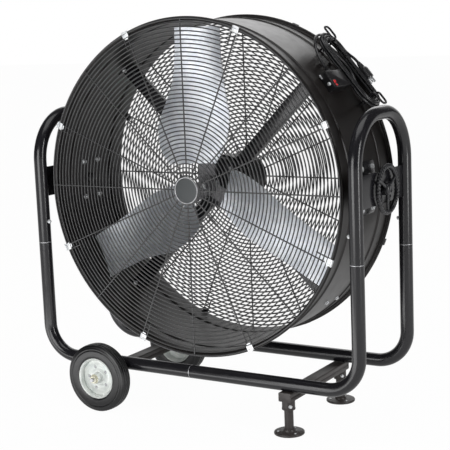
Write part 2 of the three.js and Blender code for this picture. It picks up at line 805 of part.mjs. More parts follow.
const motorShell = ring(motorInner, motorRadius, shellFrontY, shellRearY, motorSegments);
addPart(drum, 'motor_shell', motorShell, motorPaint);
addPart(drum, 'motor_bell_front', motorBell(-1), motorPaint);
addPart(drum, 'motor_bell_rear', motorBell(1), motorPaint);
addPart(drum, 'motor_bearing_front', bearing(-1), steel);
addPart(drum, 'motor_bearing_rear', bearing(1), steel);
addPart(drum, 'motor_stator', stator(), steel);
addPart(drum, 'motor_mount', motorMount(), paint);

// ---- fan: shaft, rotor core, hub and blades ----
const fan = new THREE.Group();
drum.add(fan);
const fanHubRear = motorFront - fanHubGap;
const fanHubFront = fanHubRear - fanHubLength;
const shaftFront = fanHubFront - shaftPastHub;
const shaftRear = motorRear - bearingEdge - gap;
addPart(fan, 'motor_shaft', rod(shaftRadius, shaftFront, shaftRear, 20), steel);
addPart(fan, 'rotor_core', ring(shaftRadius + gap, rotorCoreRadius, coreFront, coreRear, 16), steel);

// a blade's outline: share of its span, each edge's share of its widest reach, and how far
// forward each edge lies, from 0 at the rear to 1 at the front
const bladeOutline = [
  [0, 0.825, 0.43, 0.744, 0.205], [0.067, 0.925, 0.62, 0.897, 0.1],
  [0.139, 0.983, 0.806, 0.962, 0.026], [0.222, 1, 0.917, 1, 0.013], [0.32, 0.971, 1, 0.974, 0],
  [0.415, 0.883, 0.972, 0.846, 0.026], [0.518, 0.79, 0.917, 0.679, 0.077],
  [0.634, 0.717, 0.861, 0.526, 0.1], [0.814, 0.667, 0.82, 0.46, 0.16],
  [1, 0.642, 0.82, 0.46, 0.167],
];
const bladeTip = shellInner - bladeTipClearance;
const bladeStations = bladeOutline.map(([span, ahead, behind, aheadForward, behindForward]) => ({
  radius: THREE.MathUtils.lerp(bladeRoot, bladeTip, span),
  ahead: ahead * bladeLead,
  behind: -behind * bladeTrail,
  aheadY: motorFront - THREE.MathUtils.lerp(bladeRear, bladeFront, aheadForward),
  behindY: motorFront - THREE.MathUtils.lerp(bladeRear, bladeFront, behindForward),
}));
const bladeAcross = 4;

function bladeEdges(radius) {
  const last = bladeStations.length - 1;
  const place = THREE.MathUtils.clamp(radius, bladeStations[0].radius, bladeStations[last].radius);
  const index = Math.min(bladeStations.filter((station) => station.radius <= place).length, last) - 1;
  const a = bladeStations[index];
  const b = bladeStations[index + 1];
  const share = (place - a.radius) / (b.radius - a.radius);
  const mix = (key) => THREE.MathUtils.lerp(a[key], b[key], share);
  return {
    ahead: mix('ahead'), behind: mix('behind'), aheadY: mix('aheadY'), behindY: mix('behindY'),
  };
}

// place along the axis of the blade's middle surface at a point of its plan
function bladeHeight(radius, across) {
  const edge = bladeEdges(radius);
  const share = (across - edge.behind) / (edge.ahead - edge.behind);
  return THREE.MathUtils.lerp(edge.behindY, edge.aheadY, share) + 4 * bladeCamber * share * (1 - share);
}

// closed sheet over a grid of [radius, across] points, between two faces along the axis
function sheet(rows, thickness, offset) {
  const columns = rows[0].length;
  const positions = [];
  for (const face of [-0.5, 0.5]) {
    for (const row of rows) {
      for (const [radius, across] of row) {
        positions.push(radius, bladeHeight(radius, across) + offset + face * thickness, across);
      }
    }
  }
  const index = [];
  const at = (face, r, c) => face * rows.length * columns + r * columns + c;
  const quad = (a, b, c, d) => index.push(a, b, c, a, c, d);
  for (let r = 0; r < rows.length - 1; r += 1) {
    for (let c = 0; c < columns - 1; c += 1) {
      quad(at(0, r, c), at(0, r + 1, c), at(0, r + 1, c + 1), at(0, r, c + 1));
      quad(at(1, r, c), at(1, r, c + 1), at(1, r + 1, c + 1), at(1, r + 1, c));
    }
    quad(at(0, r, 0), at(1, r, 0), at(1, r + 1, 0), at(0, r + 1, 0));
    quad(at(0, r, columns - 1), at(0, r + 1, columns - 1), at(1, r + 1, columns - 1), at(1, r, columns - 1));
  }
  for (let c = 0; c < columns - 1; c += 1) {
    quad(at(0, 0, c), at(0, 0, c + 1), at(1, 0, c + 1), at(1, 0, c));
    const r = rows.length - 1;
    quad(at(0, r, c), at(1, r, c), at(1, r, c + 1), at(0, r, c + 1));
  }
  const geometry = new THREE.BufferGeometry();
  geometry.setAttribute('position', new THREE.Float32BufferAttribute(positions, 3));
  geometry.setIndex(index);
  return geometry;
}

function blade() {
  const rows = bladeStations.map(({ radius, ahead, behind }) => (
    spread(behind, ahead, bladeAcross).map((across) => [radius, across])));
  return sheet(rows, bladeThickness, 0);
}

// hub boss with one arm behind each blade's root, bent to the blade's shape
function fanHub() {
  const armOffset = (bladeThickness + hubArmThickness) / 2 + hubArmClearance;
  const reaches = spread(fanHubRadius / 2, hubArmReach, 4);
  const arms = [];
  for (let i = 0; i < bladeCount; i += 1) {
    const rows = reaches.map((radius) => (
      spread(-hubArmHalfWidth, hubArmHalfWidth, 2).map((across) => [radius, across])));
    arms.push(sheet(rows, hubArmThickness, armOffset).rotateY(-bladeAngle(i)));
  }
  const boss = rod(fanHubRadius, fanHubFront, fanHubRear, 24);
  return cut(join(boss, ...arms), rod(shaftRadius + gap, shaftFront - gap, 0, 20));
}

function bladeAngle(i) {
  return radians(firstBladeAngle + (360 / bladeCount) * i);
}

addPart(fan, 'fan_hub', fanHub(), steel);
for (let i = 0; i < bladeCount; i += 1) {
  addPart(fan, `fan_blade_${i + 1}`, blade(), aluminium).rotation.y = -bladeAngle(i);
}

// ---- switch box on the drum's upper right ----
// a stand on the drum: its X leads out from the drum's axis, Y along the axis, Z round the drum
function standOnDrum(angle) {
  const stand = new THREE.Group();
  stand.rotation.y = -radians(angle);
  drum.add(stand);
  return stand;
}

const boxStand = standOnDrum(boxAngle);
const boxStandOff = shellRadius - boxSink;
const boxTop = boxStandOff + boxDepth;
const boxSide = boxWidth / 2;
const glandHeight = boxStandOff + boxDepth / 2;
const glandMiddle = boxFront + glandFromFront;
const rockerMiddle = boxFront + rockerFromFront;

function switchBox() {
  const outside = block(boxStandOff, boxTop, boxFront, boxFront + boxLength, -boxSide, boxSide);
  const inside = block(
    boxStandOff - boxWall, boxTop - boxWall, boxFront + boxWall, boxFront + boxLength - boxWall,
    boxWall - boxSide, boxSide - boxWall,
  );
  const wall = rod((shellRadius + gap) / wallFacet, -shellHalf, shellHalf, drumSegments);
  const window = block(
    boxTop - boxWall * 2, boxTop + boxWall, rockerMiddle - rockerWidth / 2 - gap,
    rockerMiddle + rockerWidth / 2 + gap, rockerOffset - rockerLength / 2 - gap,
    rockerOffset + rockerLength / 2 + gap,
  );
  const cordHole = alongZ(rod(cordDiameter / 2 + gap, boxSide - boxWall * 2, boxSide + boxWall, 16))
    .translate(glandHeight, glandMiddle, 0);
  return cut(outside, inside, wall, window, cordHole);
}

function cordGland() {
  const outer = glandDiameter / 2;
  const inner = cordDiameter / 2 + gap;
  return alongZ(turned([
    [inner, boxSide + gap], [outer, boxSide + gap], [outer, boxSide + glandLength / 3],
    [outer * 0.8, boxSide + glandLength / 3], [inner + 1.2, boxSide + glandLength],
    [inner, boxSide + glandLength],
  ], 20));
}

// V-topped rocker whose ends are round about its pivot, lying over to one side
function rocker() {
  const reach = rockerLength / 2;
  const at = (degrees) => [reach * Math.sin(radians(degrees)), reach * Math.cos(radians(degrees))];
  const outline = new THREE.Shape([
    at(-28), at(-12), at(4), at(rockerRise), [1, 0],
    at(180 - rockerRise), at(176), at(192), at(208),
  ].map(([x, y]) => new THREE.Vector2(x, y)));
  const body = new THREE.ExtrudeGeometry(outline, { depth: rockerWidth, bevelEnabled: false });
  return alongZ(body.translate(0, 0, -rockerWidth / 2).rotateZ(radians(rockerTilt)));
}

addPart(boxStand, 'switch_box', switchBox(), satinPaint);
addPart(boxStand, 'cord_gland', cordGland(), plastic).position.set(glandHeight, glandMiddle, 0);
addPart(boxStand, 'switch_rocker', rocker(), redPlastic)
  .position.set(boxTop - boxWall / 2, rockerMiddle, rockerOffset);

// ---- cord hooks, hank and plug ----
const hankStand = standOnDrum(hankAngle);
const hookReach = shellRadius + hookHeight;

function cordHook(direction) {
  const legZ = direction * hookLegOffset;
  const tipZ = legZ + direction * hookTurnedLength;
  const foot = Math.sqrt((shellRadius + gap) ** 2 - hookLegOffset ** 2) + hookWire / 2;
  const near = hankCentre - hookLegSpacing / 2;
  const far = hankCentre + hookLegSpacing / 2;
  const corners = [
    vector(foot, near, legZ), vector(hookReach, near, legZ), vector(hookReach, near, tipZ),
    vector(hookReach, far, tipZ), vector(hookReach, far, legZ), vector(foot, far, legZ),
  ];
  return sweep(bentStations(corners, hookWire * 1.8, 4), circle(hookWire / 2, 6));
}

// place on the hank's winding, counted in turns: in on the first layer, out again on the second
function hankPoint(turn) {
  const inset = cordPitch * (hankReversal - hankStart - Math.abs(turn - hankReversal));
  const climbHalf = runShare / 4;
  const climb = THREE.MathUtils.smoothstep(turn, hankReversal - climbHalf, hankReversal + climbHalf);
  const height = shellRadius + hankLift + cordPitch * climb;
  const radius = hankFoldRadius - inset;
  const half = Math.floor(turn * 2 + 1e-9);
  const share = turn * 2 - half;
  const side = half % 2 === 0 ? 1 : -1;
  if (share < runShare) {
    const along = hankHalfRun * (1 - (2 * share) / runShare);
    const slack = Math.abs(turn - hankReversal) < runShare / 4 ? hankBow : 0;
    const bow = slack * (1 - (along / hankHalfRun) ** 2) ** 2;
    return vector(height, hankCentre + side * (radius - bow), side * along);
  }
  const angle = (Math.PI * (share - runShare)) / (1 - runShare);
  return vector(
    height, hankCentre + side * radius * Math.cos(angle),
    -side * (hankHalfRun + radius * Math.sin(angle)),
  );
}

// least distance between parts of the winding that are more than half a turn apart
function leastSelfGap(points) {
  let least = Infinity;
  for (let i = 0; i < points.length - 1; i += 1) {
    const here = new THREE.Line3(points[i], points[i + 1]);
    for (let j = i + stepsPerTurn / 2; j < points.length; j += 1) {
      const nearest = here.closestPointToPoint(points[j], true, new THREE.Vector3());
      least = Math.min(least, nearest.distanceTo(points[j]));
    }
  }
  return least - cordDiameter;
}

const firstStep = Math.ceil(hankStart * stepsPerTurn);
const lastStep = Math.floor(hankEnd * stepsPerTurn);
const hankSteps = spread(firstStep, lastStep, lastStep - firstStep).map((step) => step / stepsPerTurn);
const hankPoints = [hankStart, ...hankSteps, hankEnd].map(hankPoint);
console.log(`least gap between the hank's strands: ${leastSelfGap(hankPoints).toFixed(2)} mm`);

// the free stretches: out from the drum's wall, along its axis, round the drum
const tailRoute = [
  [14.9, -5, 21.8], [15.3, -5, 29.8], [15.8, -4.5, 40], [16.8, -1, 57], [18, 8, 77],
  [19, 23, 97], [20, 42, 114.5], [20.8, 66, 127.5], [21, 92, 132], [21, 116, 128],
  [21, 134, 115.5], [21, 144.5, 99], [21, 147, 82], [21, 147, 72.3],
];
const leadRoute = [
  [29.9, 145.7, 71.7], [30, 145.8, 62], [32, 149, 46], [34.8, 153, 30], [35.8, 154, 18],
  [35.8, 154, 6.3],
];

function freeStretch(route, steps) {
  const points = route.map(([out, along, round]) => vector(shellRadius + out, along, round));
  const curve = new THREE.CatmullRomCurve3(points, false, 'centripetal');
  return sweep(curve.getSpacedPoints(steps), circle(cordDiameter / 2, 8));
}

// moulded plug, its cord end towards +Z: tapered relief, body and three contacts
function cordPlug() {
  const bore = cordDiameter / 2 + gap;
  const neck = plugThickness / 2 - 2;
  const boreEnd = plugReliefLength - plugCordDepth;
  const relief = turned([
    [0, -plugLength / 3], [neck, -plugLength / 3], [neck, 0], [bore + 1.2, plugReliefLength],
    [bore, plugReliefLength], [bore, boreEnd], [0, boreEnd],
  ], 16);
  const halfWidth = plugWidth / 2;
  const halfThick = plugThickness / 2;
  const corner = plugThickness / 5;
  const outline = new THREE.Shape([
    [-halfThick, corner - halfWidth], [corner - halfThick, -halfWidth],
    [halfThick - corner, -halfWidth], [halfThick, corner - halfWidth],
    [halfThick, halfWidth - corner], [halfThick - corner, halfWidth],
    [corner - halfThick, halfWidth], [-halfThick, halfWidth - corner],
  ].map(([x, y]) => new THREE.Vector2(x, y)));
  const body = new THREE.ExtrudeGeometry(outline, { depth: plugLength, bevelEnabled: false });
  const root = 1 - plugLength;
  const tip = -plugLength - plugBladeLength;
  const flats = [-1, 1].map((side) => {
    const middle = (side * plugBladeSpacing) / 2;
    const half = plugBladeThickness / 2;
    return block(0, plugBladeWidth, middle - half, middle + half, tip, root);
  });
  const earth = alongZ(rod(plugEarthRadius, tip, root, 12)).translate(-plugBladeWidth, 0, 0);
  return join(alongZ(relief), body.translate(0, 0, -plugLength), ...flats, earth);
}

addPart(hankStand, 'cord_hook_upper', cordHook(1), paint);
addPart(hankStand, 'cord_hook_lower', cordHook(-1), paint);
addPart(hankStand, 'cord_hank', sweep(hankPoints, circle(cordDiameter / 2, 6)), rubber);
addPart(hankStand, 'cord_tail', freeStretch(tailRoute, 18), rubber);
addPart(hankStand, 'cord_lead', freeStretch(leadRoute, 5), rubber);
const [plugOut, plugAlong, leadEnd] = leadRoute[leadRoute.length - 1];
addPart(hankStand, 'cord_plug', cordPlug(), plastic)
  .position.set(shellRadius + plugOut, plugAlong, leadEnd - gap + plugCordDepth - plugReliefLength);

// ---- the whole assembly stands with the middle of its base at the origin ----
const assembly = new THREE.Group();
assembly.add(frame);
const cordNames = ['cord_tail', 'cord_hank', 'cord_lead', 'cord_plug'];
assembly.updateMatrixWorld(true);
const footprint = new THREE.Box3();
assembly.traverse((part) => {
  if (!part.isMesh || cordNames.includes(part.name)) return;
  footprint.union(new THREE.Box3().setFromObject(part, true));
});
const middle = footprint.getCenter(new THREE.Vector3());
assembly.position.set(-middle.x, -middle.y, -footprint.min.z);

export default assembly;
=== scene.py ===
import json
import math

import bmesh
import bpy
from mathutils import Matrix, Vector


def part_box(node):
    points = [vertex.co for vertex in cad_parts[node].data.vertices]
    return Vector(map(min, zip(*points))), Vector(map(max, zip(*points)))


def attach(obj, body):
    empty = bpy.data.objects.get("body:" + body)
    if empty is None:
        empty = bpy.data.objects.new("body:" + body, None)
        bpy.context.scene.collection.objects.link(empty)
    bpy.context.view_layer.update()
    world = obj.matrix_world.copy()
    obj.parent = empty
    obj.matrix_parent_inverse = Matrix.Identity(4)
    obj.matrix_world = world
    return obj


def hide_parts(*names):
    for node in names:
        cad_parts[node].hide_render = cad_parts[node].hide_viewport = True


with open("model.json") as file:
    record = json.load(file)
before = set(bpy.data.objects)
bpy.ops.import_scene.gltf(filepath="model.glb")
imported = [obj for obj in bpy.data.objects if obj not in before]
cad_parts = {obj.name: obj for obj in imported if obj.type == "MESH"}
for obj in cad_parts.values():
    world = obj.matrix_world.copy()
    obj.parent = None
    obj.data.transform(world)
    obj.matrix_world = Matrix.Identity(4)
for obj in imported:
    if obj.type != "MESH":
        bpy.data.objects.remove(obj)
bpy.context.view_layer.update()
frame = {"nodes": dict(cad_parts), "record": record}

pi = math.pi

# Everything below is drawn in millimetres and scaled to metres as it becomes a mesh.
metre = 0.001
joints = {joint["name"]: joint for joint in frame["record"]["behaviour"]["joints"]}
centre = Vector(joints["drum_tilt"]["pos_m"]) / metre    # the drum's middle, on the tilt axis
sides = {"right": 1, "left": -1}             # along X
ends = {"front": -1, "rear": 1}              # along Y


def nodeMiddle(node):
    low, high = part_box(node)
    return (low + high) / 2 / metre


# Wires and looks: sums of sockets, written as Python sums.
class Wire:                                  # a socket that takes part in sums
    def __init__(self, look, socket):
        self.look = look
        self.socket = socket

    def __add__(self, other):
        return self.look.maths("ADD", self, other)

    def __radd__(self, other):
        return self.look.maths("ADD", other, self)

    def __sub__(self, other):
        return self.look.maths("SUBTRACT", self, other)

    def __rsub__(self, other):
        return self.look.maths("SUBTRACT", other, self)

    def __mul__(self, other):
        return self.look.maths("MULTIPLY", self, other)

    def __rmul__(self, other):
        return self.look.maths("MULTIPLY", other, self)


class Look:
    def __init__(self, name, owners=bpy.data.materials):
        self.owner = owners.new(name)
        self.owner.use_nodes = True
        self.tree = self.owner.node_tree
        self.tree.nodes.clear()
        self.place = self.node("TexCoord", {}, {}, "Object")
        self.normal = self.node("TexCoord", {}, {}, "Normal")

    def node(self, kind, settings, sockets, output=0):
        made = self.tree.nodes.new("ShaderNode" + kind)
        for key, value in settings.items():
            setattr(made, key, value)
        for key, value in sockets.items():
            if isinstance(value, Wire):
                self.tree.links.new(value.socket, made.inputs[key])
            else:
                made.inputs[key].default_value = value
        return Wire(self, made.outputs[output]) if made.outputs else None

    def maths(self, operation, first, second):
        return self.node("Math", {"operation": operation}, {0: first, 1: second})

    def noise(self, scale, detail=2.0, roughness=0.5):
        sockets = {"Vector": self.place, "Scale": scale, "Detail": detail, "Roughness": roughness}
        return self.node("TexNoise", {}, sockets)

    def cellEdges(self, scale):
        sockets = {"Vector": self.place, "Scale": scale}
        return self.node("TexVoronoi", {"feature": "DISTANCE_TO_EDGE"}, sockets)

    def step(self, value, low, high):        # 0 below low, 1 above high, smooth between
        settings = {"interpolation_type": "SMOOTHSTEP", "clamp": True}
        return self.node("MapRange", settings, {0: value, 1: low, 2: high, 3: 0.0, 4: 1.0})

    def mix(self, mask, first, second):
        colours = {6: first, 7: second}
        for key, colour in colours.items():
            if not isinstance(colour, Wire):
                colours[key] = (*colour, 1)
        return self.node("Mix", {"data_type": "RGBA"}, {0: mask, **colours}, 2)

    def upward(self):
        return self.node("SeparateXYZ", {}, {0: self.normal}, 2)

    def bump(self, height, distance, strength=1.0):
        return self.node("Bump", {}, {"Height": height, "Distance": distance, "Strength": strength})

    def surface(self, varying, fixed):
        shader = self.node("BsdfPrincipled", {}, {**fixed, **varying})
        self.node("OutputMaterial", {}, {"Surface": shader})
        return self.owner


# Three families of finish, each with a table of values.
def paint(name, values):
    look = Look(name)
    dust = look.step(look.noise(7, 4, 0.6), 0.42, 0.75) * look.step(look.upward(), 0.2, 0.95)
    dust = dust * values["dust"]
    drift = look.mix(look.noise(11, 3), values["colour"], [part * 1.5 + 0.002 for part in values["colour"]])
    scuffs = look.step(look.noise(420, 2, 0.7), 0.66, 0.8) * look.step(look.noise(9, 2), 0.5, 0.7)
    colour = look.mix(dust, drift, values["dustColour"])
    colour = look.mix(scuffs * 0.25, colour, (0.11, 0.105, 0.1))
    roughness = look.noise(30, 3) * 0.12 + (values["roughness"] - 0.06) + dust * 0.5
    height = look.noise(values["peelScale"], 1) * 0.7 + look.noise(values["peelScale"] * 3, 1) * 0.3
    varying = {"Base Color": colour, "Roughness": roughness, "Normal": look.bump(height, values["peel"])}
    return look.surface(varying, {"Specular IOR Level": values["gloss"], "Metallic": 0.0})


def metal(name, values):
    look = Look(name)
    blotch = look.step(look.noise(values["scale"], 4, 0.65), 0.35, 0.7)
    fine = look.noise(values["scale"] * 9, 2, 0.6)
    stain = look.step(look.noise(values["scale"] * 0.6, 5, 0.7), 0.56, 0.74) * values["stain"]
    colour = look.mix(blotch, values["colour"], values["second"])
    colour = look.mix(stain, colour, values["stainColour"])
    roughness = fine * 0.2 + (values["roughness"] - 0.1) + stain * 0.25
    varying = {"Base Color": colour, "Roughness": roughness, "Normal": look.bump(fine, values["depth"])}
    return look.surface(varying, {"Metallic": values["metallic"], "Specular IOR Level": 0.5})


def polymer(name, values):
    look = Look(name)
    haze = look.step(look.noise(16, 4, 0.6), 0.4, 0.75)
    grain = look.noise(values["grain"], 2, 0.6)
    colour = look.mix(haze * values["haze"], values["colour"], values["hazeColour"])
    roughness = look.noise(60, 2) * 0.14 + (values["roughness"] - 0.07)
    varying = {"Base Color": colour, "Roughness": roughness, "Normal": look.bump(grain, values["depth"])}
    return look.surface(varying, {"Specular IOR Level": values["gloss"], "Metallic": 0.0})


paints = {
    "frame_paint": {
        "colour": (0.0075, 0.0073, 0.009), "roughness": 0.2, "peelScale": 160, "peel": 0.00002,
        "dust": 0.035, "dustColour": (0.16, 0.15, 0.14), "gloss": 0.55,
    },
    "foot_paint": {
        "colour": (0.034, 0.0295, 0.028), "roughness": 0.4, "peelScale": 500, "peel": 0.00005,
        "dust": 0.12, "dustColour": (0.17, 0.155, 0.145), "gloss": 0.4,
    },
    "drum_paint": {
        "colour": (0.0075, 0.006, 0.0056), "roughness": 0.34, "peelScale": 300, "peel": 0.00004,
        "dust": 0.05, "dustColour": (0.15, 0.135, 0.125), "gloss": 0.42,
    },
    "grille_paint": {
        "colour": (0.008, 0.008, 0.009), "roughness": 0.3, "peelScale": 900, "peel": 0.00002,
        "dust": 0.03, "dustColour": (0.16, 0.155, 0.15), "gloss": 0.9,
    },
    "box_paint": {
        "colour": (0.009, 0.0085, 0.0095), "roughness": 0.32, "peelScale": 800, "peel": 0.00004,
        "dust": 0.06, "dustColour": (0.15, 0.145, 0.14), "gloss": 0.5,
    },
    "motor_paint": {
        "colour": (0.022, 0.022, 0.025), "roughness": 0.42, "peelScale": 600, "peel": 0.00006,
        "dust": 0.1, "dustColour": (0.2, 0.19, 0.18), "gloss": 0.45,
    },
    "badge": {
        "colour": (0.042, 0.046, 0.048), "roughness": 0.4, "peelScale": 1500, "peel": 0.00002,
        "dust": 0.04, "dustColour": (0.2, 0.2, 0.2), "gloss": 0.35,
    },
}
metals = {
    "blade_aluminium": {
        "colour": (0.55, 0.575, 0.62), "second": (0.69, 0.71, 0.735), "scale": 30,
        "roughness": 0.36, "depth": 0.00006, "stain": 0.4, "stainColour": (0.27, 0.29, 0.33), "metallic": 0.7,
    },
    "steel": {
        "colour": (0.44, 0.44, 0.46), "second": (0.56, 0.56, 0.57), "scale": 90,
        "roughness": 0.4, "depth": 0.00003, "stain": 0.3, "stainColour": (0.26, 0.25, 0.24), "metallic": 0.8,
    },
    "zinc_plate": {
        "colour": (0.72, 0.74, 0.76), "second": (0.85, 0.86, 0.86), "scale": 60,
        "roughness": 0.36, "depth": 0.00003, "stain": 0.25, "stainColour": (0.5, 0.53, 0.58), "metallic": 0.55,
    },
    "wheel_zinc": {
        "colour": (0.66, 0.695, 0.67), "second": (0.8, 0.82, 0.79), "scale": 34,
        "roughness": 0.42, "depth": 0.00004, "stain": 0.3, "stainColour": (0.48, 0.55, 0.57), "metallic": 0.25,
    },
    # the fan hub's steel: a darker copy of steel, its grey lowered to how the hub looks in shadow, so painted
    # shade over the metal's own colour
    "hub_steel_painted_shade": {
        "colour": (0.15, 0.148, 0.158), "second": (0.21, 0.208, 0.215), "scale": 45,
        "roughness": 0.5, "depth": 0.00008, "stain": 0.4, "stainColour": (0.1, 0.095, 0.09), "metallic": 0.45,
    },
    "yellow_zinc": {
        "colour": (0.66, 0.64, 0.5), "second": (0.78, 0.76, 0.64), "scale": 80,
        "roughness": 0.38, "depth": 0.00003, "stain": 0.35, "stainColour": (0.52, 0.5, 0.48), "metallic": 0.55,
    },
    "bronze": {
        "colour": (0.45, 0.29, 0.12), "second": (0.56, 0.38, 0.18), "scale": 70,
        "roughness": 0.4, "depth": 0.00004, "stain": 0.4, "stainColour": (0.2, 0.13, 0.07), "metallic": 0.9,
    },
}
polymers = {
    "cord_rubber": {
        "colour": (0.011, 0.011, 0.0125), "hazeColour": (0.04, 0.039, 0.04), "haze": 0.3,
        "roughness": 0.3, "grain": 900, "depth": 0.00003, "gloss": 0.75,
    },
    "black_plastic": {
        "colour": (0.009, 0.009, 0.01), "hazeColour": (0.035, 0.035, 0.035), "haze": 0.25,
        "roughness": 0.36, "grain": 1300, "depth": 0.00004, "gloss": 0.45,
    },
    "handwheel_plastic": {
        "colour": (0.0105, 0.0105, 0.0125), "hazeColour": (0.04, 0.04, 0.045), "haze": 0.3,
        "roughness": 0.26, "grain": 1100, "depth": 0.00003, "gloss": 0.6,
    },
    "rocker_red": {
        "colour": (0.62, 0.016, 0.022), "hazeColour": (0.75, 0.07, 0.07), "haze": 0.4,
        "roughness": 0.25, "grain": 1500, "depth": 0.00002, "gloss": 0.6,
    },
    "friction_fibre": {
        "colour": (0.075, 0.05, 0.036), "hazeColour": (0.16, 0.12, 0.09), "haze": 0.8,
        "roughness": 0.8, "grain": 500, "depth": 0.0002, "gloss": 0.2,
    },
}
finishes = {name: paint(name, values) for name, values in paints.items()}
finishes.update({name: metal(name, values) for name, values in metals.items()})
finishes.update({name: polymer(name, values) for name, values in polymers.items()})


def tyreRubber():
    look = Look("tyre_rubber")
    tread = look.step(look.cellEdges(320), 0.02, 0.12)
    grime = look.step(look.noise(14, 4, 0.6), 0.4, 0.75)
    colour = look.mix(grime * 0.35, (0.006, 0.006, 0.0068), (0.022, 0.0205, 0.02))
    height = tread * 0.4 + look.noise(500, 2) * 0.4
    varying = {"Base Color": colour, "Roughness": 0.3 + grime * 0.12, "Normal": look.bump(height, 0.00006)}
    return look.surface(varying, {"Specular IOR Level": 0.5, "Metallic": 0.0})


finishes["tyre_rubber"] = tyreRubber()
print("finishes made:", len(finishes))


# Places, outlines and the shape that gathers points and faces.
def aimed(origin, direction, side=None):     # a place whose Z points along a direction
    along = Vector(direction).normalized()
    start = Vector(side) if side else (Vector((0, 0, 1)) if abs(along.z) < 0.9 else Vector((1, 0, 0)))
    across = (start - along * start.dot(along)).normalized()
    other = along.cross(across)
    rows = [[across[i], other[i], along[i], origin[i]] for i in range(3)]
    return Matrix([*rows, [0, 0, 0, 1]])


def moved(x, y, z):
    return Matrix.Translation((x, y, z))


def standOnDrum(degrees):                    # X out from the drum's axis, Y along it, Z round it
    return Matrix.Translation(centre) @ Matrix.Rotation(-math.radians(degrees), 4, "Y")


def around(radius, angle, y=0):              # a step from the drum's axis, angle up from +X
    return Vector((radius * math.cos(angle), y, radius * math.sin(angle)))


def arc(cx, cy, radius, start, end, steps):
    angles = [math.radians(start + (end - start) * i / steps) for i in range(steps + 1)]
    return [(cx + radius * math.cos(a), cy + radius * math.sin(a)) for a in angles]


def roundedBox(width, height, radius, steps=4):    # outline about the middle
    x, y = width / 2 - radius, height / 2 - radius
    corners = ((x, y, 0), (-x, y, 90), (-x, -y, 180), (x, -y, 270))
    return [point for cx, cy, turn in corners for point in arc(cx, cy, radius, turn, turn + 90, steps)]


class Shape:
    def __init__(self):
        self.points = []
        self.faces = []

    def loft(self, rings, wrap=True, loop=False, caps=False):
        first = len(self.points)
        count = len(rings[0])
        for ring in rings:
            self.points.extend(Vector(point) for point in ring)
        last = len(rings) if loop else len(rings) - 1
        for r in range(last):
            a = first + r * count
            b = first + ((r + 1) % len(rings)) * count
            for c in range(count if wrap else count - 1):
                d = (c + 1) % count
                self.faces.append((a + c, a + d, b + d, b + c))
        if caps:
            self.faces.append(tuple(range(first, first + count))[::-1])
            end = first + (len(rings) - 1) * count
            self.faces.append(tuple(range(end, end + count)))
        return self

    def turned(self, place, profile, segments=48, closed=True):    # (radius, along) round the place's Z
        rings = []
        for i in range(segments):
            angle = 2 * pi * i / segments
            rings.append([place @ Vector((r * math.cos(angle), r * math.sin(angle), z)) for r, z in profile])
        return self.loft(rings, wrap=closed, loop=True)

    def tube(self, path, radius, sides=12, closed=False):
        path = [Vector(point) for point in path]
        count = len(path)
        tangents = []
        for i in range(count):
            before = path[i - 1] if closed or i > 0 else path[i]
            after = path[(i + 1) % count] if closed or i < count - 1 else path[i]
            tangents.append((after - before).normalized())
        across = tangents[0].orthogonal().normalized()
        rings = []
        for i, point in enumerate(path):
            along = tangents[i]
            across = (across - along * across.dot(along)).normalized()
            other = along.cross(across)
            size = radius[i] if isinstance(radius, list) else radius
            angles = [2 * pi * s / sides for s in range(sides)]
            rings.append([point + (across * math.cos(a) + other * math.sin(a)) * size for a in angles])
        return self.loft(rings, loop=closed, caps=not closed)

    def prism(self, place, outline, low, high):
        rings = [[place @ Vector((x, y, z)) for x, y in outline] for z in (low, high)]
        return self.loft(rings, caps=True)

    def block(self, place, width, depth, low, high):
        x, y = width / 2, depth / 2
        return self.prism(place, [(x, y), (-x, y), (-x, -y), (x, -y)], low, high)

    def hexHead(self, place, across, height, washer=0.0, thread=0.0):
        radius = across / math.sqrt(3)
        if washer:
            outer = across * 0.62
            self.turned(place, [(0, 0), (outer, 0), (outer, 0.9), (outer - 0.5, 1.3), (0, 1.3)], 32, False)
        base = 1.3 if washer else 0
        rings = []
        corners = [(math.cos(pi * k / 3 + pi / 6), math.sin(pi * k / 3 + pi / 6)) for k in range(6)]
        for scale, z in ((0.97, base), (1, base + 0.4), (1, base + height * 0.78), (0.86, base + height)):
            rings.append([place @ Vector((radius * scale * x, radius * scale * y, z)) for x, y in corners])
        self.loft(rings, caps=True)
        if thread:
            self.thread(place, thread, base + height, base + height + thread * 0.7)
        return self

    def thread(self, place, radius, low, high, pitch=1.5):
        profile = [(0, low)]
        turns = max(2, round((high - low) / pitch))
        for k in range(turns):
            z = low + (high - low) * k / turns
            profile += [(radius, z), (radius * 0.9, z + (high - low) / turns / 2)]
        profile += [(radius * 0.88, high), (0, high)]
        return self.turned(place, profile, 24, False)

    def panHead(self, place, radius, height):          # domed head with a cross slot pressed in
        dome = [(radius * math.cos(pi / 12 * k), height * math.sin(pi / 12 * k)) for k in range(1, 6)]
        self.turned(place, [(0, 0), (radius * 0.98, 0), *dome, (0, height)], 28, False)
        for turn in (0, pi / 2):
            slot = place @ Matrix.Rotation(turn, 4, "Z")
            self.block(slot, radius * 1.1, radius * 0.26, height * 0.8, height * 1.06)
        return self


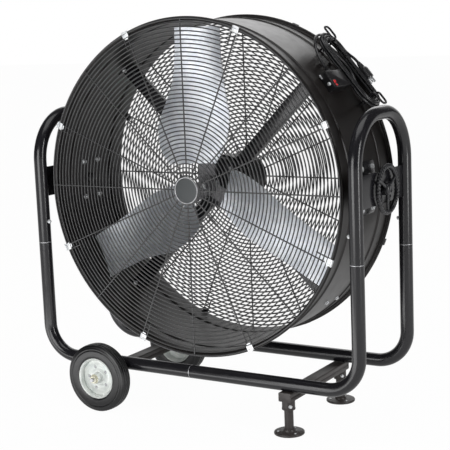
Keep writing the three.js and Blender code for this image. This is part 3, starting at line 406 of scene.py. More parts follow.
def makePiece(name, shape, finish, body, replaced=(), bevel=0.0, sharp=38):
    mesh = bpy.data.meshes.new(name)
    mesh.from_pydata([point * metre for point in shape.points], [], shape.faces)
    form = bmesh.new()
    form.from_mesh(mesh)
    bmesh.ops.remove_doubles(form, verts=form.verts, dist=2e-6)
    bmesh.ops.recalc_face_normals(form, faces=form.faces)
    if bevel:
        edges = [edge for edge in form.edges if edge.is_manifold and edge.calc_face_angle() > math.radians(40)]
        bmesh.ops.bevel(form, geom=edges, offset=bevel * metre, segments=2, profile=0.6, affect="EDGES",
                        clamp_overlap=True)
    form.to_mesh(mesh)
    form.free()
    mesh.polygons.foreach_set("use_smooth", [True] * len(mesh.polygons))
    mesh.set_sharp_from_angle(angle=math.radians(sharp))
    piece = bpy.data.objects.new(name, mesh)
    bpy.context.scene.collection.objects.link(piece)
    mesh.materials.append(finishes[finish])
    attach(piece, body)
    if replaced:
        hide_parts(*replaced)
    return piece


view = {
    "azimuth": 31.69, "elevation": 9.36, "roll": -2.31,    # degrees
    "lens": 97.4, "place": (1.8650, -2.9849, 1.1205),
}


def makeCamera():
    turn, rise, roll = (math.radians(view[key]) for key in ("azimuth", "elevation", "roll"))
    back = Vector((math.sin(turn) * math.cos(rise), -math.cos(turn) * math.cos(rise), math.sin(rise)))
    level = Vector((math.cos(turn), math.sin(turn), 0))
    upright = back.cross(level)
    right = level * math.cos(roll) + upright * math.sin(roll)
    up = upright * math.cos(roll) - level * math.sin(roll)
    data = bpy.data.cameras.new("camera")
    data.lens = view["lens"]
    data.sensor_width = 36
    camera = bpy.data.objects.new("camera", data)
    rows = [[right[i], up[i], back[i], view["place"][i]] for i in range(3)]
    camera.matrix_world = Matrix([*rows, [0, 0, 0, 1]])
    bpy.context.scene.collection.objects.link(camera)
    bpy.context.scene.camera = camera


makeCamera()
print("camera placed")


cord = {
    "diameter": 8, "angle": 39.5, "wall": 472,             # stand of the hank, and the drum's wall
    "pitch": 8.9, "along": 97, "halfRun": 80, "foldRadius": 50,
    "start": 1 + 1 / 120, "reversal": 3 + 7 / 12, "end": 6 + 1 / 120,
    "bow": 27, "runShare": 1 / 3, "lift": 21, "stepsPerTurn": 48,
    "tail": [                                              # out from the wall, along the axis, round
        (14.9, -5, 21.8), (15.3, -5, 29.8), (15.8, -4.5, 40), (16.8, -1, 57), (18, 8, 77),
        (19, 23, 97), (20, 42, 114.5), (20.8, 66, 127.5), (21, 92, 132), (21, 116, 128),
        (21, 134, 115.5), (21, 144.5, 99), (21, 147, 82), (21, 147, 72.3),
    ],
    "lead": [
        (29.9, 145.7, 71.7), (30, 145.8, 62), (32, 149, 46), (34.8, 153, 30), (35.8, 154, 18),
        (35.8, 154, 6.3),
    ],
}


def smoothRoute(route, steps):               # centripetal Catmull-Rom through the points
    points = [Vector(point) for point in route]
    points = [points[0] * 2 - points[1], *points, points[-1] * 2 - points[-2]]
    smooth = []
    for i in range(1, len(points) - 2):
        before, a, b, after = points[i - 1:i + 3]
        gaps = [math.sqrt((q - p).length) for p, q in ((before, a), (a, b), (b, after))]
        leave = ((a - before) / gaps[0] - (b - before) / (gaps[0] + gaps[1]) + (b - a) / gaps[1]) * gaps[1]
        arrive = ((b - a) / gaps[1] - (after - a) / (gaps[1] + gaps[2]) + (after - b) / gaps[2]) * gaps[1]
        for step in range(steps):
            t = step / steps
            smooth.append(
                a * (2 * t ** 3 - 3 * t ** 2 + 1) + leave * (t ** 3 - 2 * t ** 2 + t)
                + b * (3 * t ** 2 - 2 * t ** 3) + arrive * (t ** 3 - t ** 2)
            )
    return [*smooth, points[-2]]


def hankPoint(turn):                         # in on the first layer, out again on the second
    inset = cord["pitch"] * (cord["reversal"] - cord["start"] - abs(turn - cord["reversal"]))
    climbHalf = cord["runShare"] / 4
    rise = min(max((turn - cord["reversal"] + climbHalf) / (2 * climbHalf), 0), 1)
    height = cord["lift"] + cord["pitch"] * rise * rise * (3 - 2 * rise)
    radius = cord["foldRadius"] - inset
    half = math.floor(turn * 2 + 1e-9)
    share = turn * 2 - half
    side = 1 if half % 2 == 0 else -1
    if share < cord["runShare"]:
        along = cord["halfRun"] * (1 - 2 * share / cord["runShare"])
        slack = cord["bow"] if abs(turn - cord["reversal"]) < climbHalf else 0
        bow = slack * (1 - (along / cord["halfRun"]) ** 2) ** 2
        return Vector((height, cord["along"] + side * (radius - bow), side * along))
    angle = pi * (share - cord["runShare"]) / (1 - cord["runShare"])
    return Vector((
        height, cord["along"] + side * radius * math.cos(angle),
        -side * (cord["halfRun"] + radius * math.sin(angle)),
    ))


def makeCord(plugPieces):
    first = math.ceil(cord["start"] * cord["stepsPerTurn"])
    last = math.floor(cord["end"] * cord["stepsPerTurn"])
    turns = [cord["start"], *[step / cord["stepsPerTurn"] for step in range(first, last + 1)], cord["end"]]
    local = smoothRoute(cord["tail"], 6) + [hankPoint(turn) for turn in turns] + smoothRoute(cord["lead"], 6)
    stand = standOnDrum(cord["angle"]) @ moved(cord["wall"], 0, 0)
    points = [(stand @ point) * metre for point in local]
    curve = bpy.data.curves.new("power_cord", "CURVE")
    curve.dimensions = "3D"
    curve.bevel_depth = cord["diameter"] / 2 * metre
    curve.bevel_resolution = 4
    curve.use_fill_caps = True
    line = curve.splines.new("POLY")
    line.points.add(len(points) - 1)
    for target, point in zip(line.points, points):
        target.co = (*point, 1)
    line.use_smooth = True
    piece = bpy.data.objects.new("power_cord", curve)
    bpy.context.scene.collection.objects.link(piece)
    curve.materials.append(finishes["cord_rubber"])
    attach(piece, "drum")
    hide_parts("cord_tail", "cord_hank", "cord_lead")
    length = sum((q - p).length for p, q in zip(points, points[1:]))
    print("cord length", round(length, 3), "m")


plug = {
    "reliefLength": 20, "cordDepth": 8, "gap": 0.3, "length": 36, "width": 24, "thickness": 21,
    "bladeLength": 17, "bladeSpacing": 12.7, "bladeThickness": 1.6, "bladeWidth": 6.4, "earthRadius": 2.4,
}


def makePlug():
    out, along, leadEnd = cord["lead"][-1]
    base = leadEnd - plug["gap"] + plug["cordDepth"] - plug["reliefLength"]
    stand = standOnDrum(cord["angle"]) @ moved(cord["wall"] + out, along, base)
    body = Shape()
    ribs = []
    for k in range(5):                       # relief: tapered, with a groove after each rib
        z = 2 + k * 3.6
        r = 8.4 - k * 0.62
        ribs += [(r, z), (r, z + 2.1), (r - 1.2, z + 2.5), (r - 1.3, z + 3.3)]
    body.turned(stand, [(4.2, -4), (8.6, -4), *ribs, (5.4, 20), (4.3, 20)], 32)
    rings = []
    for z, scale in ((0, 0.8), (-3, 0.93), (-8, 1), (-30, 1), (-34, 0.985), (-36, 0.94)):
        outline = roundedBox(plug["thickness"] * scale, plug["width"] * scale, 5 * scale)
        rings.append([stand @ Vector((x, y, z)) for x, y in outline])
    body.loft(rings, caps=True)
    for k in range(5):                       # raised grips on both broad sides
        for side in (1, -1):
            grip = stand @ moved(side * (plug["thickness"] / 2 - 0.25), 0, -12 - k * 4)
            body.block(grip @ Matrix.Rotation(pi / 2, 4, "Y"), 1.6, 13, -0.6, 0.6)
    shell = makePiece("plug_body", body, "cord_rubber", "drum", ("cord_plug",), bevel=0.4)
    pins = Shape()
    tip = -plug["length"] - plug["bladeLength"]
    for side in (1, -1):
        blade = stand @ moved(plug["bladeWidth"] / 2, side * plug["bladeSpacing"] / 2, 0)
        pins.block(blade, plug["bladeWidth"], plug["bladeThickness"], tip, 1 - plug["length"])
    r = plug["earthRadius"]
    earth = stand @ moved(-plug["bladeWidth"], 0, 0)
    top = 1 - plug["length"]
    pins.turned(earth, [(0, tip), (r * 0.5, tip), (r, tip + 2), (r, top), (0, top)], 24, False)
    return [shell, makePiece("plug_pins", pins, "zinc_plate", "drum", bevel=0.3)]


makeCord(makePlug())


tubes = {
    "radius": 19.05, "sides": 40, "bendSteps": 18,
    "archX": 522, "shift": centre.x, "legY": 161,
    "archTop": centre.z + 206.5, "archBend": 137, "seamZ": 488.5,
    "baseZ": 139.6, "baseBend": 95, "seamX": centre.x - 9, "archGap": 0.8, "midGap": 0.5,
    "seamRing": [(17.6, -0.9), (19, -0.9), (19.2, -0.5), (19.2, 0.5), (19, 0.9), (17.6, 0.9)],
}


def bentPath(corners, radius, steps):
    corners = [Vector(corner) for corner in corners]
    path = [corners[0]]
    for before, corner, after in zip(corners, corners[1:], corners[2:]):
        incoming = (corner - before).normalized()
        outgoing = (after - corner).normalized()
        turn = incoming.angle(outgoing)
        start = corner - incoming * radius * math.tan(turn / 2)
        inward = (outgoing - incoming * math.cos(turn)).normalized()
        for step in range(steps + 1):
            angle = turn * step / steps
            path.append(start + inward * radius * (1 - math.cos(angle)) + incoming * radius * math.sin(angle))
    return [*path, corners[-1]]


def makeTubes():
    legY, seamZ, seamX, low = tubes["legY"], tubes["seamZ"], tubes["seamX"], tubes["baseZ"]
    top, foot = tubes["archTop"], seamZ + tubes["archGap"]
    seams = Shape()
    for sideName, side in sides.items():
        x = tubes["shift"] + side * tubes["archX"]
        corners = [(x, -legY, foot), (x, -legY, top), (x, legY, top), (x, legY, foot)]
        arch = bentPath(corners, tubes["archBend"], tubes["bendSteps"])
        shape = Shape().tube(arch, tubes["radius"], tubes["sides"])
        makePiece("arch_" + sideName, shape, "frame_paint", "frame", ("arch_tube_" + sideName,))
        for endName, end in ends.items():
            y = end * legY
            corners = [(x, y, seamZ), (x, y, low), (seamX + side * tubes["midGap"], y, low)]
            base = bentPath(corners, tubes["baseBend"], tubes["bendSteps"])
            shape = Shape().tube(base, tubes["radius"], tubes["sides"])
            name = f"{endName}_{sideName}"
            makePiece("base_" + name, shape, "frame_paint", "frame", ("base_tube_" + name,))
            seams.turned(moved(x, y, seamZ), tubes["seamRing"], 40)
    for y in (-legY, legY):
        seams.turned(aimed((seamX, y, low), (1, 0, 0)), tubes["seamRing"], 40)
    makePiece("tube_seams", seams, "steel", "frame")


makeTubes()


plates = {
    "height": 89, "thickness": 5, "lift": 6, "reach": 141.65, "screwDrop": {"right": 103, "left": 113},
    "screw": (10, 5, 1, 2.5),                # across flats, height, washer, thread
    "beadOut": 3.4, "beadPast": 1.2, "beadRadius": 2.2, "beadRipple": 0.45, "beadSteps": 44,
}


def makePlates():
    screws = Shape()
    welds = Shape()
    reach = plates["reach"] + plates["beadPast"]
    steps = range(plates["beadSteps"] + 1)
    height, half = plates["height"], plates["thickness"] / 2
    middle = centre.z + plates["lift"]
    for sideName, side in sides.items():
        x = tubes["shift"] + side * tubes["archX"]
        place = aimed((x, 0, middle), (side, 0, 0), (0, 0, 1))
        shape = Shape().block(place, height, 2 * plates["reach"], -half, half)
        name = "pivot_plate_" + sideName
        makePiece(name + "_steel", shape, "frame_paint", "frame", (name,), bevel=0.8)
        for y in (-reach, reach):
            for face in (1, -1):             # a fillet of weld where the plate meets each leg
                low = middle - height / 2
                out = x + face * plates["beadOut"]
                bead = [(out, y, low + height * k / plates["beadSteps"]) for k in steps]
                sizes = [plates["beadRadius"] + plates["beadRipple"] * math.sin(k * 2.2) for k in steps]
                welds.tube(bead, sizes, 8)
        drop = centre.z - plates["screwDrop"][sideName]
        for y in (-tubes["legY"], tubes["legY"]):
            place = aimed((x - side * (tubes["radius"] - 0.5), y, drop), (-side, 0, 0))
            screws.hexHead(place, *plates["screw"])
    makePiece("plate_welds", welds, "frame_paint", "frame")
    makePiece("leg_screws", screws, "zinc_plate", "frame")


makePlates()


crossbars = {
    "width": 38, "depth": 25.4, "wall": 3, "lip": 5, "cap": 3, "halfLength": 183, "top": 120.25,
    "footX": nodeMiddle("foot_crossbar").x, "axleX": nodeMiddle("axle_crossbar").x, "axleDrop": 12.7,
}
feet = {
    "plateRadius": 42.5, "plateThickness": 7, "postRadius": 12.7, "socketRadius": 19, "socketLength": 26,
    "gap": 0.3, "collarHeight": 6, "screws": 3, "screwRing": 31, "screwTurn": -28.3, "screwRadius": 3.6,
    "screwHeight": 2, "boltTurn": -45, "boltHeight": 12, "bolt": (8, 3.6, 1),
}


def channelOutline():                        # an inverted U with rounded shoulders and small lips
    w, d, t = crossbars["width"] / 2, crossbars["depth"], crossbars["wall"]
    lip = t + crossbars["lip"]
    middle = 0.5 * d
    groove = ((0, middle + 2), (1, middle + 0.8), (1, middle - 0.8), (0, middle - 2))
    right = [(w, -d), *[(w - inset, -drop) for inset, drop in groove], *arc(w - t, -t, t, 0, 90, 4)]
    left = [(-x, y) for x, y in reversed(right)]
    inside = [(lip - w, -d), (lip - w, t - d), (t - w, t - d), (t - w, -t)]
    return [*right, *left, *inside, *[(-x, y) for x, y in reversed(inside)]]


def makeCrossbars():
    top, half, cap = crossbars["top"], crossbars["halfLength"], crossbars["cap"]
    for name, x, bottom in (
        ("foot_crossbar", crossbars["footX"], top - crossbars["depth"]),
        ("axle_crossbar", crossbars["axleX"], nodeMiddle("axle_rod").z - crossbars["axleDrop"]),
    ):
        lengthways = aimed((x, 0, top), (0, -1, 0), (1, 0, 0))
        up = 1 if (lengthways @ Vector((0, 1, 0))).z > top else -1
        outline = [(across, up * rise) for across, rise in channelOutline()]
        shape = Shape().prism(lengthways, outline, cap - half, half - cap)
        for end in (-1, 1):
            place = aimed((x, end * (half - cap / 2), (top + bottom) / 2), (0, end, 0), (1, 0, 0))
            shape.prism(place, roundedBox(crossbars["width"], top - bottom, 2.5), -cap / 2, cap / 2)
        makePiece(name + "_steel", shape, "foot_paint", "frame", (name,), bevel=0.5)


def makeFeet():
    bolts = Shape()
    top = crossbars["top"] - crossbars["depth"] - feet["gap"]
    low = top - feet["socketLength"]
    r, p = feet["socketRadius"], feet["postRadius"]
    plate, thick = feet["plateRadius"], feet["plateThickness"]
    collar = thick + feet["collarHeight"]
    profiles = {
        "foot_socket": [
            (p + 0.2, low), (r - 1.6, low), (r - 0.4, low + 0.8), (r, low + 2.4), (r, low + 5),
            (r - 0.8, low + 6), (r - 0.8, top - 1), (r - 0.8, top), (p + 0.2, top),
        ],
        "foot_post": [(p - 3, thick + 0.5), (p, thick + 0.5), (p, top - 7), (p - 3, top - 7)],
        "foot_plate": [
            (0, 0), (plate - 1.2, 0), (plate, 1.2), (plate, thick - 2.2), (plate - 0.7, thick - 0.8),
            (plate - 2.4, thick), (18.4, thick - 0.4), (17, thick + 0.6), (16.1, collar - 1), (15.2, collar),
            (p + 0.3, collar), (p + 0.3, thick - 0.6), (0, thick - 0.6),
        ],
    }
    for endName in ends:
        x, y = nodeMiddle("foot_plate_" + endName).xy
        for part, segments in (("foot_socket", 48), ("foot_post", 40), ("foot_plate", 72)):
            shape = Shape().turned(moved(x, y, 0), profiles[part], segments, part != "foot_plate")
            name = f"{part}_{endName}"
            makePiece(name + "_steel", shape, "foot_paint", "frame", (name,))
        ring = feet["screwRing"]
        for k in range(feet["screws"]):
            turn = math.radians(feet["screwTurn"] + 360 / feet["screws"] * k)
            spot = (x + ring * math.cos(turn), y + ring * math.sin(turn), thick - 0.6)
            bolts.panHead(moved(*spot), feet["screwRadius"], feet["screwHeight"])
        turn = math.radians(feet["boltTurn"])
        out = Vector((math.cos(turn), math.sin(turn), 0))
        place = aimed(Vector((x, y, low + feet["boltHeight"])) + out * (r - 1), out)
        bolts.hexHead(place, *feet["bolt"])
    makePiece("foot_screws", bolts, "zinc_plate", "frame")


makeCrossbars()
makeFeet()
print("frame made")


wheel = {
    "radius": 101.6, "width": 44, "seat": 61, "rimHalf": 20, "lip": 7, "web": 4, "hub": 15, "hubHalf": 24.5,
    "bore": 10.5, "ribs": (-13.2, -4.4, 4.4, 13.2), "rivets": 5, "rivetRing": 33, "rivetTurn": 0.3,
    "rivet": [(0, 0), (4.6, 0), (4.5, 0.8), (3.4, 1.9), (2.2, 2.2), (1.2, 1.5), (0, 1.3)],
    "washer": [(6.6, 0.2), (14.2, 0.2), (14.2, 1.5), (13.6, 2), (6.6, 2)],
    "nutAcross": 22, "nutHeight": 9, "axle": 6.35, "axlePast": 16,
}


def tyreProfile():
    r, half = wheel["radius"], wheel["width"] / 2
    seat = wheel["seat"] + 0.3
    low = [(seat, -19.5), (seat + 3, -half + 1.2), (seat + 7, -half + 0.2), (seat + 20, -half)]
    ridges = [(r - 18, -half + 0.2), (r - 16.6, -half + 1.4), (r - 15.2, -half + 0.2), (r - 11, -half + 0.4)]
    side = [*low, *ridges, (r - 9.8, -half + 1.9), *arc(r - 8.5, -half + 9.9, 7.6, -78, -24, 6)]
    crown = []
    for k, middle in enumerate(wheel["ribs"]):
        height = r - 0.9 if k in (0, 3) else r
        crown += [(height - 3.6, middle - 3.7), (height - 0.8, middle - 3.1), (height, middle - 2.2),
                  (height, middle + 2.2), (height - 0.8, middle + 3.1), (height - 3.6, middle + 3.7)]
    mirrored = [(radius, -z) for radius, z in reversed(side)]
    return [*side, *crown, *mirrored]


def rimProfile():                            # rolled lips, a well each side of the flat web
    seat, half, web = wheel["seat"], wheel["rimHalf"], wheel["web"]
    well = seat - wheel["lip"]
    outer = [
        (well + 1, web), (well, web + 2), (well, half - 6), (well + 1.5, half - 2.5), (well + 4, half - 0.4),
        (seat - 1.2, half + 0.3), (seat + 0.1, half - 0.8), (seat, half - 3),
    ]
    inner = [
        (seat, 3 - half), (seat + 0.1, 0.8 - half), (seat - 1.2, -half - 0.3), (well + 4, 0.4 - half),
        (well + 1.5, 2.5 - half), (well, 6 - half), (well, web - 5), (well - 1.4, web - 3),
    ]
    hub, end = wheel["hub"], wheel["hubHalf"]
    middle = [
        (42, web - 3), (40, web - 1.8), (24, web - 1.8), (22, web - 3), (hub, web - 3), (hub, -end + 0.8),
        (hub - 0.8, -end), (wheel["bore"], -end), (wheel["bore"], end), (hub - 0.8, end), (hub, end - 0.8),
        (hub, web + 1), (hub + 1, web), (22, web), (24, web + 1.2), (40, web + 1.2), (42, web), (well - 3, web),
    ]
    return [*outer, *inner, *middle]


def makeWheels():
    nuts = Shape()
    axle = Shape()
    radius, tip = wheel["axle"], wheel["axlePast"]
    for endName, end in ends.items():
        body = "wheel_" + endName
        place = aimed(nodeMiddle("wheel_tyre_" + endName), (0, end, 0), (0, 0, 1))
        tyre = Shape().turned(place, tyreProfile(), 120)
        makePiece("tyre_" + endName, tyre, "tyre_rubber", body, ("wheel_tyre_" + endName,), sharp=50)
        rim = Shape().turned(place, rimProfile(), 96)
        replaced = ("wheel_rim_" + endName,)
        makePiece("rim_" + endName, rim, "wheel_zinc", body, replaced, sharp=50)
        rivets = Shape()
        ring = wheel["rivetRing"]
        for k in range(wheel["rivets"]):
            turn = 2 * pi * k / wheel["rivets"] + wheel["rivetTurn"]
            spot = place @ moved(ring * math.cos(turn), ring * math.sin(turn), wheel["web"] + 1)
            rivets.turned(spot, wheel["rivet"], 24, False)
        makePiece("rim_rivets_" + endName, rivets, "steel", body)
        face = place @ moved(0, 0, wheel["hubHalf"])
        nuts.turned(face, wheel["washer"], 40)
        nuts.hexHead(face @ moved(0, 0, 2), wheel["nutAcross"], wheel["nutHeight"] - 2)
        tipProfile = [(0, 0), (radius - 0.05, 0), (radius - 0.05, tip - 1.2), (5, tip), (0, tip)]
        axle.turned(face, tipProfile, 32, False)
        axle.thread(face, radius, wheel["nutHeight"], tip - 1.4, 1.3)
    makePiece("axle_nuts", nuts, "yellow_zinc", "frame", ("axle_nut_front", "axle_nut_rear"))
    rodEnd = nodeMiddle("wheel_tyre_rear").y + wheel["hubHalf"]
    x, _, z = nodeMiddle("axle_rod")
    rod = [(0, 0), (radius, 0), (radius, 2 * rodEnd), (0, 2 * rodEnd)]
    axle.turned(aimed((x, -rodEnd, z), (0, 1, 0)), rod, 32, False)
    makePiece("axle", axle, "steel", "frame", ("axle_rod",))


makeWheels()
print("wheels made")


drum = {
    "radius": 472, "half": 166.5, "thickness": 2.2, "rim": 482.6, "swage": 3.5, "swageHalf": 8,
    "swages": (-96, 96), "segments": 216,
}
along = aimed(centre, (0, 1, 0), (1, 0, 0))    # the drum's place: Z along its axis towards the rear


def onDrum(degrees, radius, y):              # a point of the drum, degrees up from +X
    return centre + around(radius, math.radians(degrees), y)


def outwards(degrees, radius, y):            # a place there whose Z points away from the axis
    return aimed(onDrum(degrees, radius, y), around(1, math.radians(degrees)), (0, 1, 0))


def shellProfile():
    r, half = drum["radius"], drum["half"]
    rim = drum["rim"]
    bead = [
        (r, half - 12), (r + 0.4, half - 9.6), (r + 2.2, half - 8.6), (r + 5, half - 9),
        (rim - 2.4, half - 8.6), (rim - 0.5, half - 7), (rim, half - 4.8), (rim - 0.6, half - 2.4),
        (rim - 2.4, half - 0.6), (rim - 5, half), (r + 2.6, half - 0.7), (r - 0.4, half - 2.6),
        (r - 2.2, half - 5.6),
    ]

    def wall(offset):
        points = []
        for middle in drum["swages"]:
            for k in range(-8, 9):
                share = k / 8
                rise = drum["swage"] * (0.5 + 0.5 * math.cos(pi * share)) ** 1.3
                points.append((r + offset + rise, middle + drum["swageHalf"] * share))
        return points

    outer = wall(0)
    inner = [(radius, z) for radius, z in reversed(wall(-drum["thickness"]))]
    front = [(radius, -z) for radius, z in reversed(bead)]
    return [*front, *outer, *bead, *inner]


def makeShell():
    shape = Shape().turned(along, shellProfile(), drum["segments"])
    makePiece("drum_wall", shape, "drum_paint", "drum", ("drum_shell",), sharp=60)


makeShell()


guard = {
    "outer": 477, "inner": 41, "ringPitch": 11.47, "ringWire": {-1: 1.95, 1: 2.25}, "ringY": 169.75,
    "edgeWire": 2.3, "edgeY": 169.2, "spokeWire": 2.1, "spokeY": 168.5, "spokes": 16,
    "hairpinInner": 428, "hairpinOffset": 15,
}
clips = {
    "angles": [22.5 + 45 * k for k in range(8)], "radius": 474.6, "sideways": 5, "y": 170.4, "corner": 2,
    "plate": (16.4, 20), "tail": (9, 12), "tailIn": 9.6, "hood": (20, 9), "hoodOut": 8,
    "ribSpread": 6, "ribRadius": 1.2, "ribIn": 6.5, "ribLength": 12.5,
    "screwY": 141, "screwRadius": 4.2, "screwHeight": 2.4,
}


def makeGuard(name, face):                   # face: -1 in front, 1 behind
    shape = Shape()
    spokeY = face * guard["spokeY"]
    reach = guard["outer"] - guard["inner"]
    count = round(reach / guard["ringPitch"])
    for k in range(count + 1):
        radius = guard["inner"] + reach * k / count
        edge = k in (0, count)
        wire, y = (guard["edgeWire"], guard["edgeY"]) if edge else (guard["ringWire"][face], guard["ringY"])
        segments = 48 if radius < 150 else (96 if radius < 330 else 144)
        path = [centre + around(radius, 2 * pi * i / segments, face * y) for i in range(segments)]
        shape.tube(path, wire, 6, closed=True)
    for k in range(guard["spokes"]):
        angle = 2 * pi * k / guard["spokes"]
        path = [centre + around(radius, angle, spokeY) for radius in (guard["inner"] - 1, guard["outer"] + 1)]
        shape.tube(path, guard["spokeWire"], 8)
    for degrees in clips["angles"]:          # the straight side of each hairpin
        angle = math.radians(degrees)
        aside = around(guard["hairpinOffset"], angle + pi / 2)
        start = centre + around(guard["hairpinInner"], angle, spokeY) + aside
        length = guard["outer"] - guard["hairpinInner"] - 1
        shape.tube([start, start + around(length, angle)], guard["spokeWire"], 8)
    makePiece(name + "_wires", shape, "grille_paint", "drum", (name,), sharp=70)


def makeClips():
    shapes = {end: Shape() for end in ends}
    screws = Shape()
    for degrees in clips["angles"]:
        angle = math.radians(degrees) + clips["sideways"] / (drum["radius"] + 2)
        out, across = around(1, angle), around(1, angle + pi / 2)
        for end, shape in shapes.items():
            face = ends[end]
            spot = centre + around(clips["radius"], angle, face * clips["y"])
            plate = aimed(spot, (0, face, 0), out)
            shape.prism(plate, roundedBox(*clips["plate"], clips["corner"]), -1, 0.8)
            tail = aimed(spot - out * clips["tailIn"], (0, face, 0), out)
            shape.prism(tail, roundedBox(*clips["tail"], clips["corner"]), -0.8, 0.5)
            hood = aimed(spot + out * clips["hoodOut"], out, across)    # turned over the rim
            shape.prism(hood, roundedBox(*clips["hood"], 1.4), -1.2, 0.6)
            for offset in (-1, 1):           # ribs pressed round the two wires
                aside = across * offset * clips["ribSpread"] - out * clips["ribIn"]
                start = spot + aside + Vector((0, face * 0.6, 0))
                shape.tube([start, start + out * clips["ribLength"]], clips["ribRadius"], 10)
        place = outwards(degrees, drum["radius"] - 0.4, clips["screwY"])
        screws.panHead(place, clips["screwRadius"], clips["screwHeight"])
    makePiece("front_guard_clips", shapes["front"], "zinc_plate", "drum", bevel=0.3)
    makePiece("rear_guard_clips", shapes["rear"], "frame_paint", "drum", bevel=0.3)
    makePiece("guard_screws", screws, "drum_paint", "drum")


badge = {"radius": 38.5, "rear": -171.7, "thickness": 5}


def makeBadge():
    facing = aimed(centre + Vector((0, badge["rear"], 0)), (0, -1, 0), (0, 0, 1))
    r, t = badge["radius"], badge["thickness"]
    flat = r - 3.8
    crown = [(flat * math.cos(pi / 16 * k), t - 1.9 + 0.9 * math.sin(pi / 16 * k)) for k in range(1, 8)]
    face = [(0, 0), (r - 3.4, 0), (r - 3.4, t - 1.9), *crown, (0, t - 1)]
    shape = Shape().turned(facing, face, 96, False)
    makePiece("badge_face", shape, "badge", "drum", ("centre_badge",))
    rim = [
        (r - 3.3, 0.2), (r - 0.6, 0.2), (r, 1), (r, t - 1.6), (r - 0.7, t - 0.4), (r - 1.7, t),
        (r - 2.7, t - 0.4), (r - 3.2, t - 1.4),
    ]
    makePiece("badge_rim", Shape().turned(facing, rim, 96), "steel", "drum")


makeGuard("front_grille", -1)
makeGuard("rear_grille", 1)
makeClips()
makeBadge()
print("drum and guards made")


motor = {
    "radius": 73, "front": -8, "rear": 165, "bell": 20, "ribs": 8, "ribRing": 39, "rib": (20, 3.2),
    "bolts": 4, "boltRing": 62, "boltSeat": 13.9, "bolt": (8, 3.5),
    "mountY": 47, "bandHalf": 17, "band": 5, "armHalf": 20, "armDepth": 22, "wall": 3, "padHalf": 42,
    "padBoltY": 32, "padBolt": (11, 4.2, 1), "padBoltTail": (11, 5, 1, 3.2),
}


def makeMotor():
    r, front, rear, bell = motor["radius"], motor["front"], motor["rear"], motor["bell"]
    low, high = front + bell, rear - bell
    half = [                                 # one end of the shell, with the groove near it
        (69, low), (r - 0.6, low), (r, low + 0.6), (r, low + 9), (r - 0.9, low + 9.6),
        (r - 0.9, low + 10.4), (r, low + 11),
    ]
    other = [(radius, low + high - z) for radius, z in reversed(half)]
    makePiece("motor_case", Shape().turned(along, half + other, 96), "motor_paint", "drum", ("motor_shell",))
    face = bell - 4.4
    shoulder = [
        (50 + 22.6 * math.sin(pi / 16 * k), face - 13 + 13 * math.cos(pi / 16 * k)) for k in range(1, 9)
    ]
    crown = [
        (11, bell), (24, bell), (26.5, bell - 1), (28, bell - 3.4), (34, bell - 4), (50, face), *shoulder,
        (r, 0.3), (60, 0.3), (22, 6), (17.8, 6), (17.8, bell - 4), (11, bell - 4),
    ]
    bolts = Shape()
    for endName, end in ends.items():
        start = low if end < 0 else high
        shape = Shape().turned(along, [(radius, start + end * z) for radius, z in crown], 96)
        for k in range(motor["ribs"]):       # cooling ribs on the bell's face
            turn = Matrix.Rotation(2 * pi * k / motor["ribs"], 4, "Z")
            rib = along @ turn @ moved(motor["ribRing"], 0, start + end * face)
            shape.block(rib, *motor["rib"], -1.5, 1.5)
        name = "motor_bell_" + endName
        makePiece(name + "_casting", shape, "motor_paint", "drum", (name,), sharp=45)
        for k in range(motor["bolts"]):
            turn = pi / 4 + 2 * pi * k / motor["bolts"]
            spot = centre + around(motor["boltRing"], turn, start + end * motor["boltSeat"])
            bolts.hexHead(aimed(spot, (0, end, 0)), *motor["bolt"])
    makePiece("motor_bolts", bolts, "zinc_plate", "drum")


def curvedPad(shape, degrees, radius, thickness, halfAcross, low, high):    # a plate that follows the wall
    rings = []
    for k in range(9):
        turn = math.radians(degrees) + halfAcross / radius * (k / 4 - 1)
        corners = ((radius, low), (radius, high), (radius - thickness, high), (radius - thickness, low))
        rings.append([centre + around(r, turn, y) for r, y in corners])
    shape.loft(rings, caps=True)


def makeMount():
    y, r = motor["mountY"], motor["radius"] + 0.3
    half, deep, wall = motor["armHalf"], motor["armDepth"] / 2, motor["wall"]
    inner = drum["radius"] - drum["thickness"] - 0.3
    band, low, high = r + motor["band"], y - motor["bandHalf"], y + motor["bandHalf"]
    ring = [(r, low), (band - 1, low), (band, low + 1), (band, high - 1), (band - 1, high), (r, high)]
    shape = Shape().turned(along, ring, 96)
    bright, painted = Shape(), Shape()
    outline = [
        (-half, -deep), (half, -deep), (half, deep), (half - wall, deep), (half - wall, wall - deep),
        (wall - half, wall - deep), (wall - half, deep), (-half, deep),
    ]
    for k in range(4):
        degrees = 45 + 90 * k
        turn = math.radians(degrees)
        place = aimed(centre + Vector((0, y, 0)), around(1, turn), around(1, turn + pi / 2))
        rearward = 1 if (place @ Vector((0, 1, 0)) - place @ Vector((0, 0, 0))).y > 0 else -1
        shape.prism(place, [(x, rearward * z) for x, z in outline], r + 3, inner - wall)
        curvedPad(shape, degrees, inner, wall, half, y - motor["padHalf"], y + motor["padHalf"])
        shape.block(place, 2 * half + 8, 26, r + 2.4, r + 7)
        for boltY in (y - motor["padBoltY"], y + motor["padBoltY"]):
            head = outwards(degrees, drum["radius"] - 0.3, boltY)
            (bright if k == 3 else painted).hexHead(head, *motor["padBolt"])
            tail = outwards(degrees, inner - wall, boltY) @ Matrix.Rotation(pi, 4, "X")
            bright.hexHead(tail, *motor["padBoltTail"])
    makePiece("motor_struts", shape, "frame_paint", "drum", ("motor_mount",), bevel=0.6)
    makePiece("strut_bolts", bright, "zinc_plate", "drum")
    makePiece("strut_bolts_painted", painted, "drum_paint", "drum")


makeMotor()
makeMount()


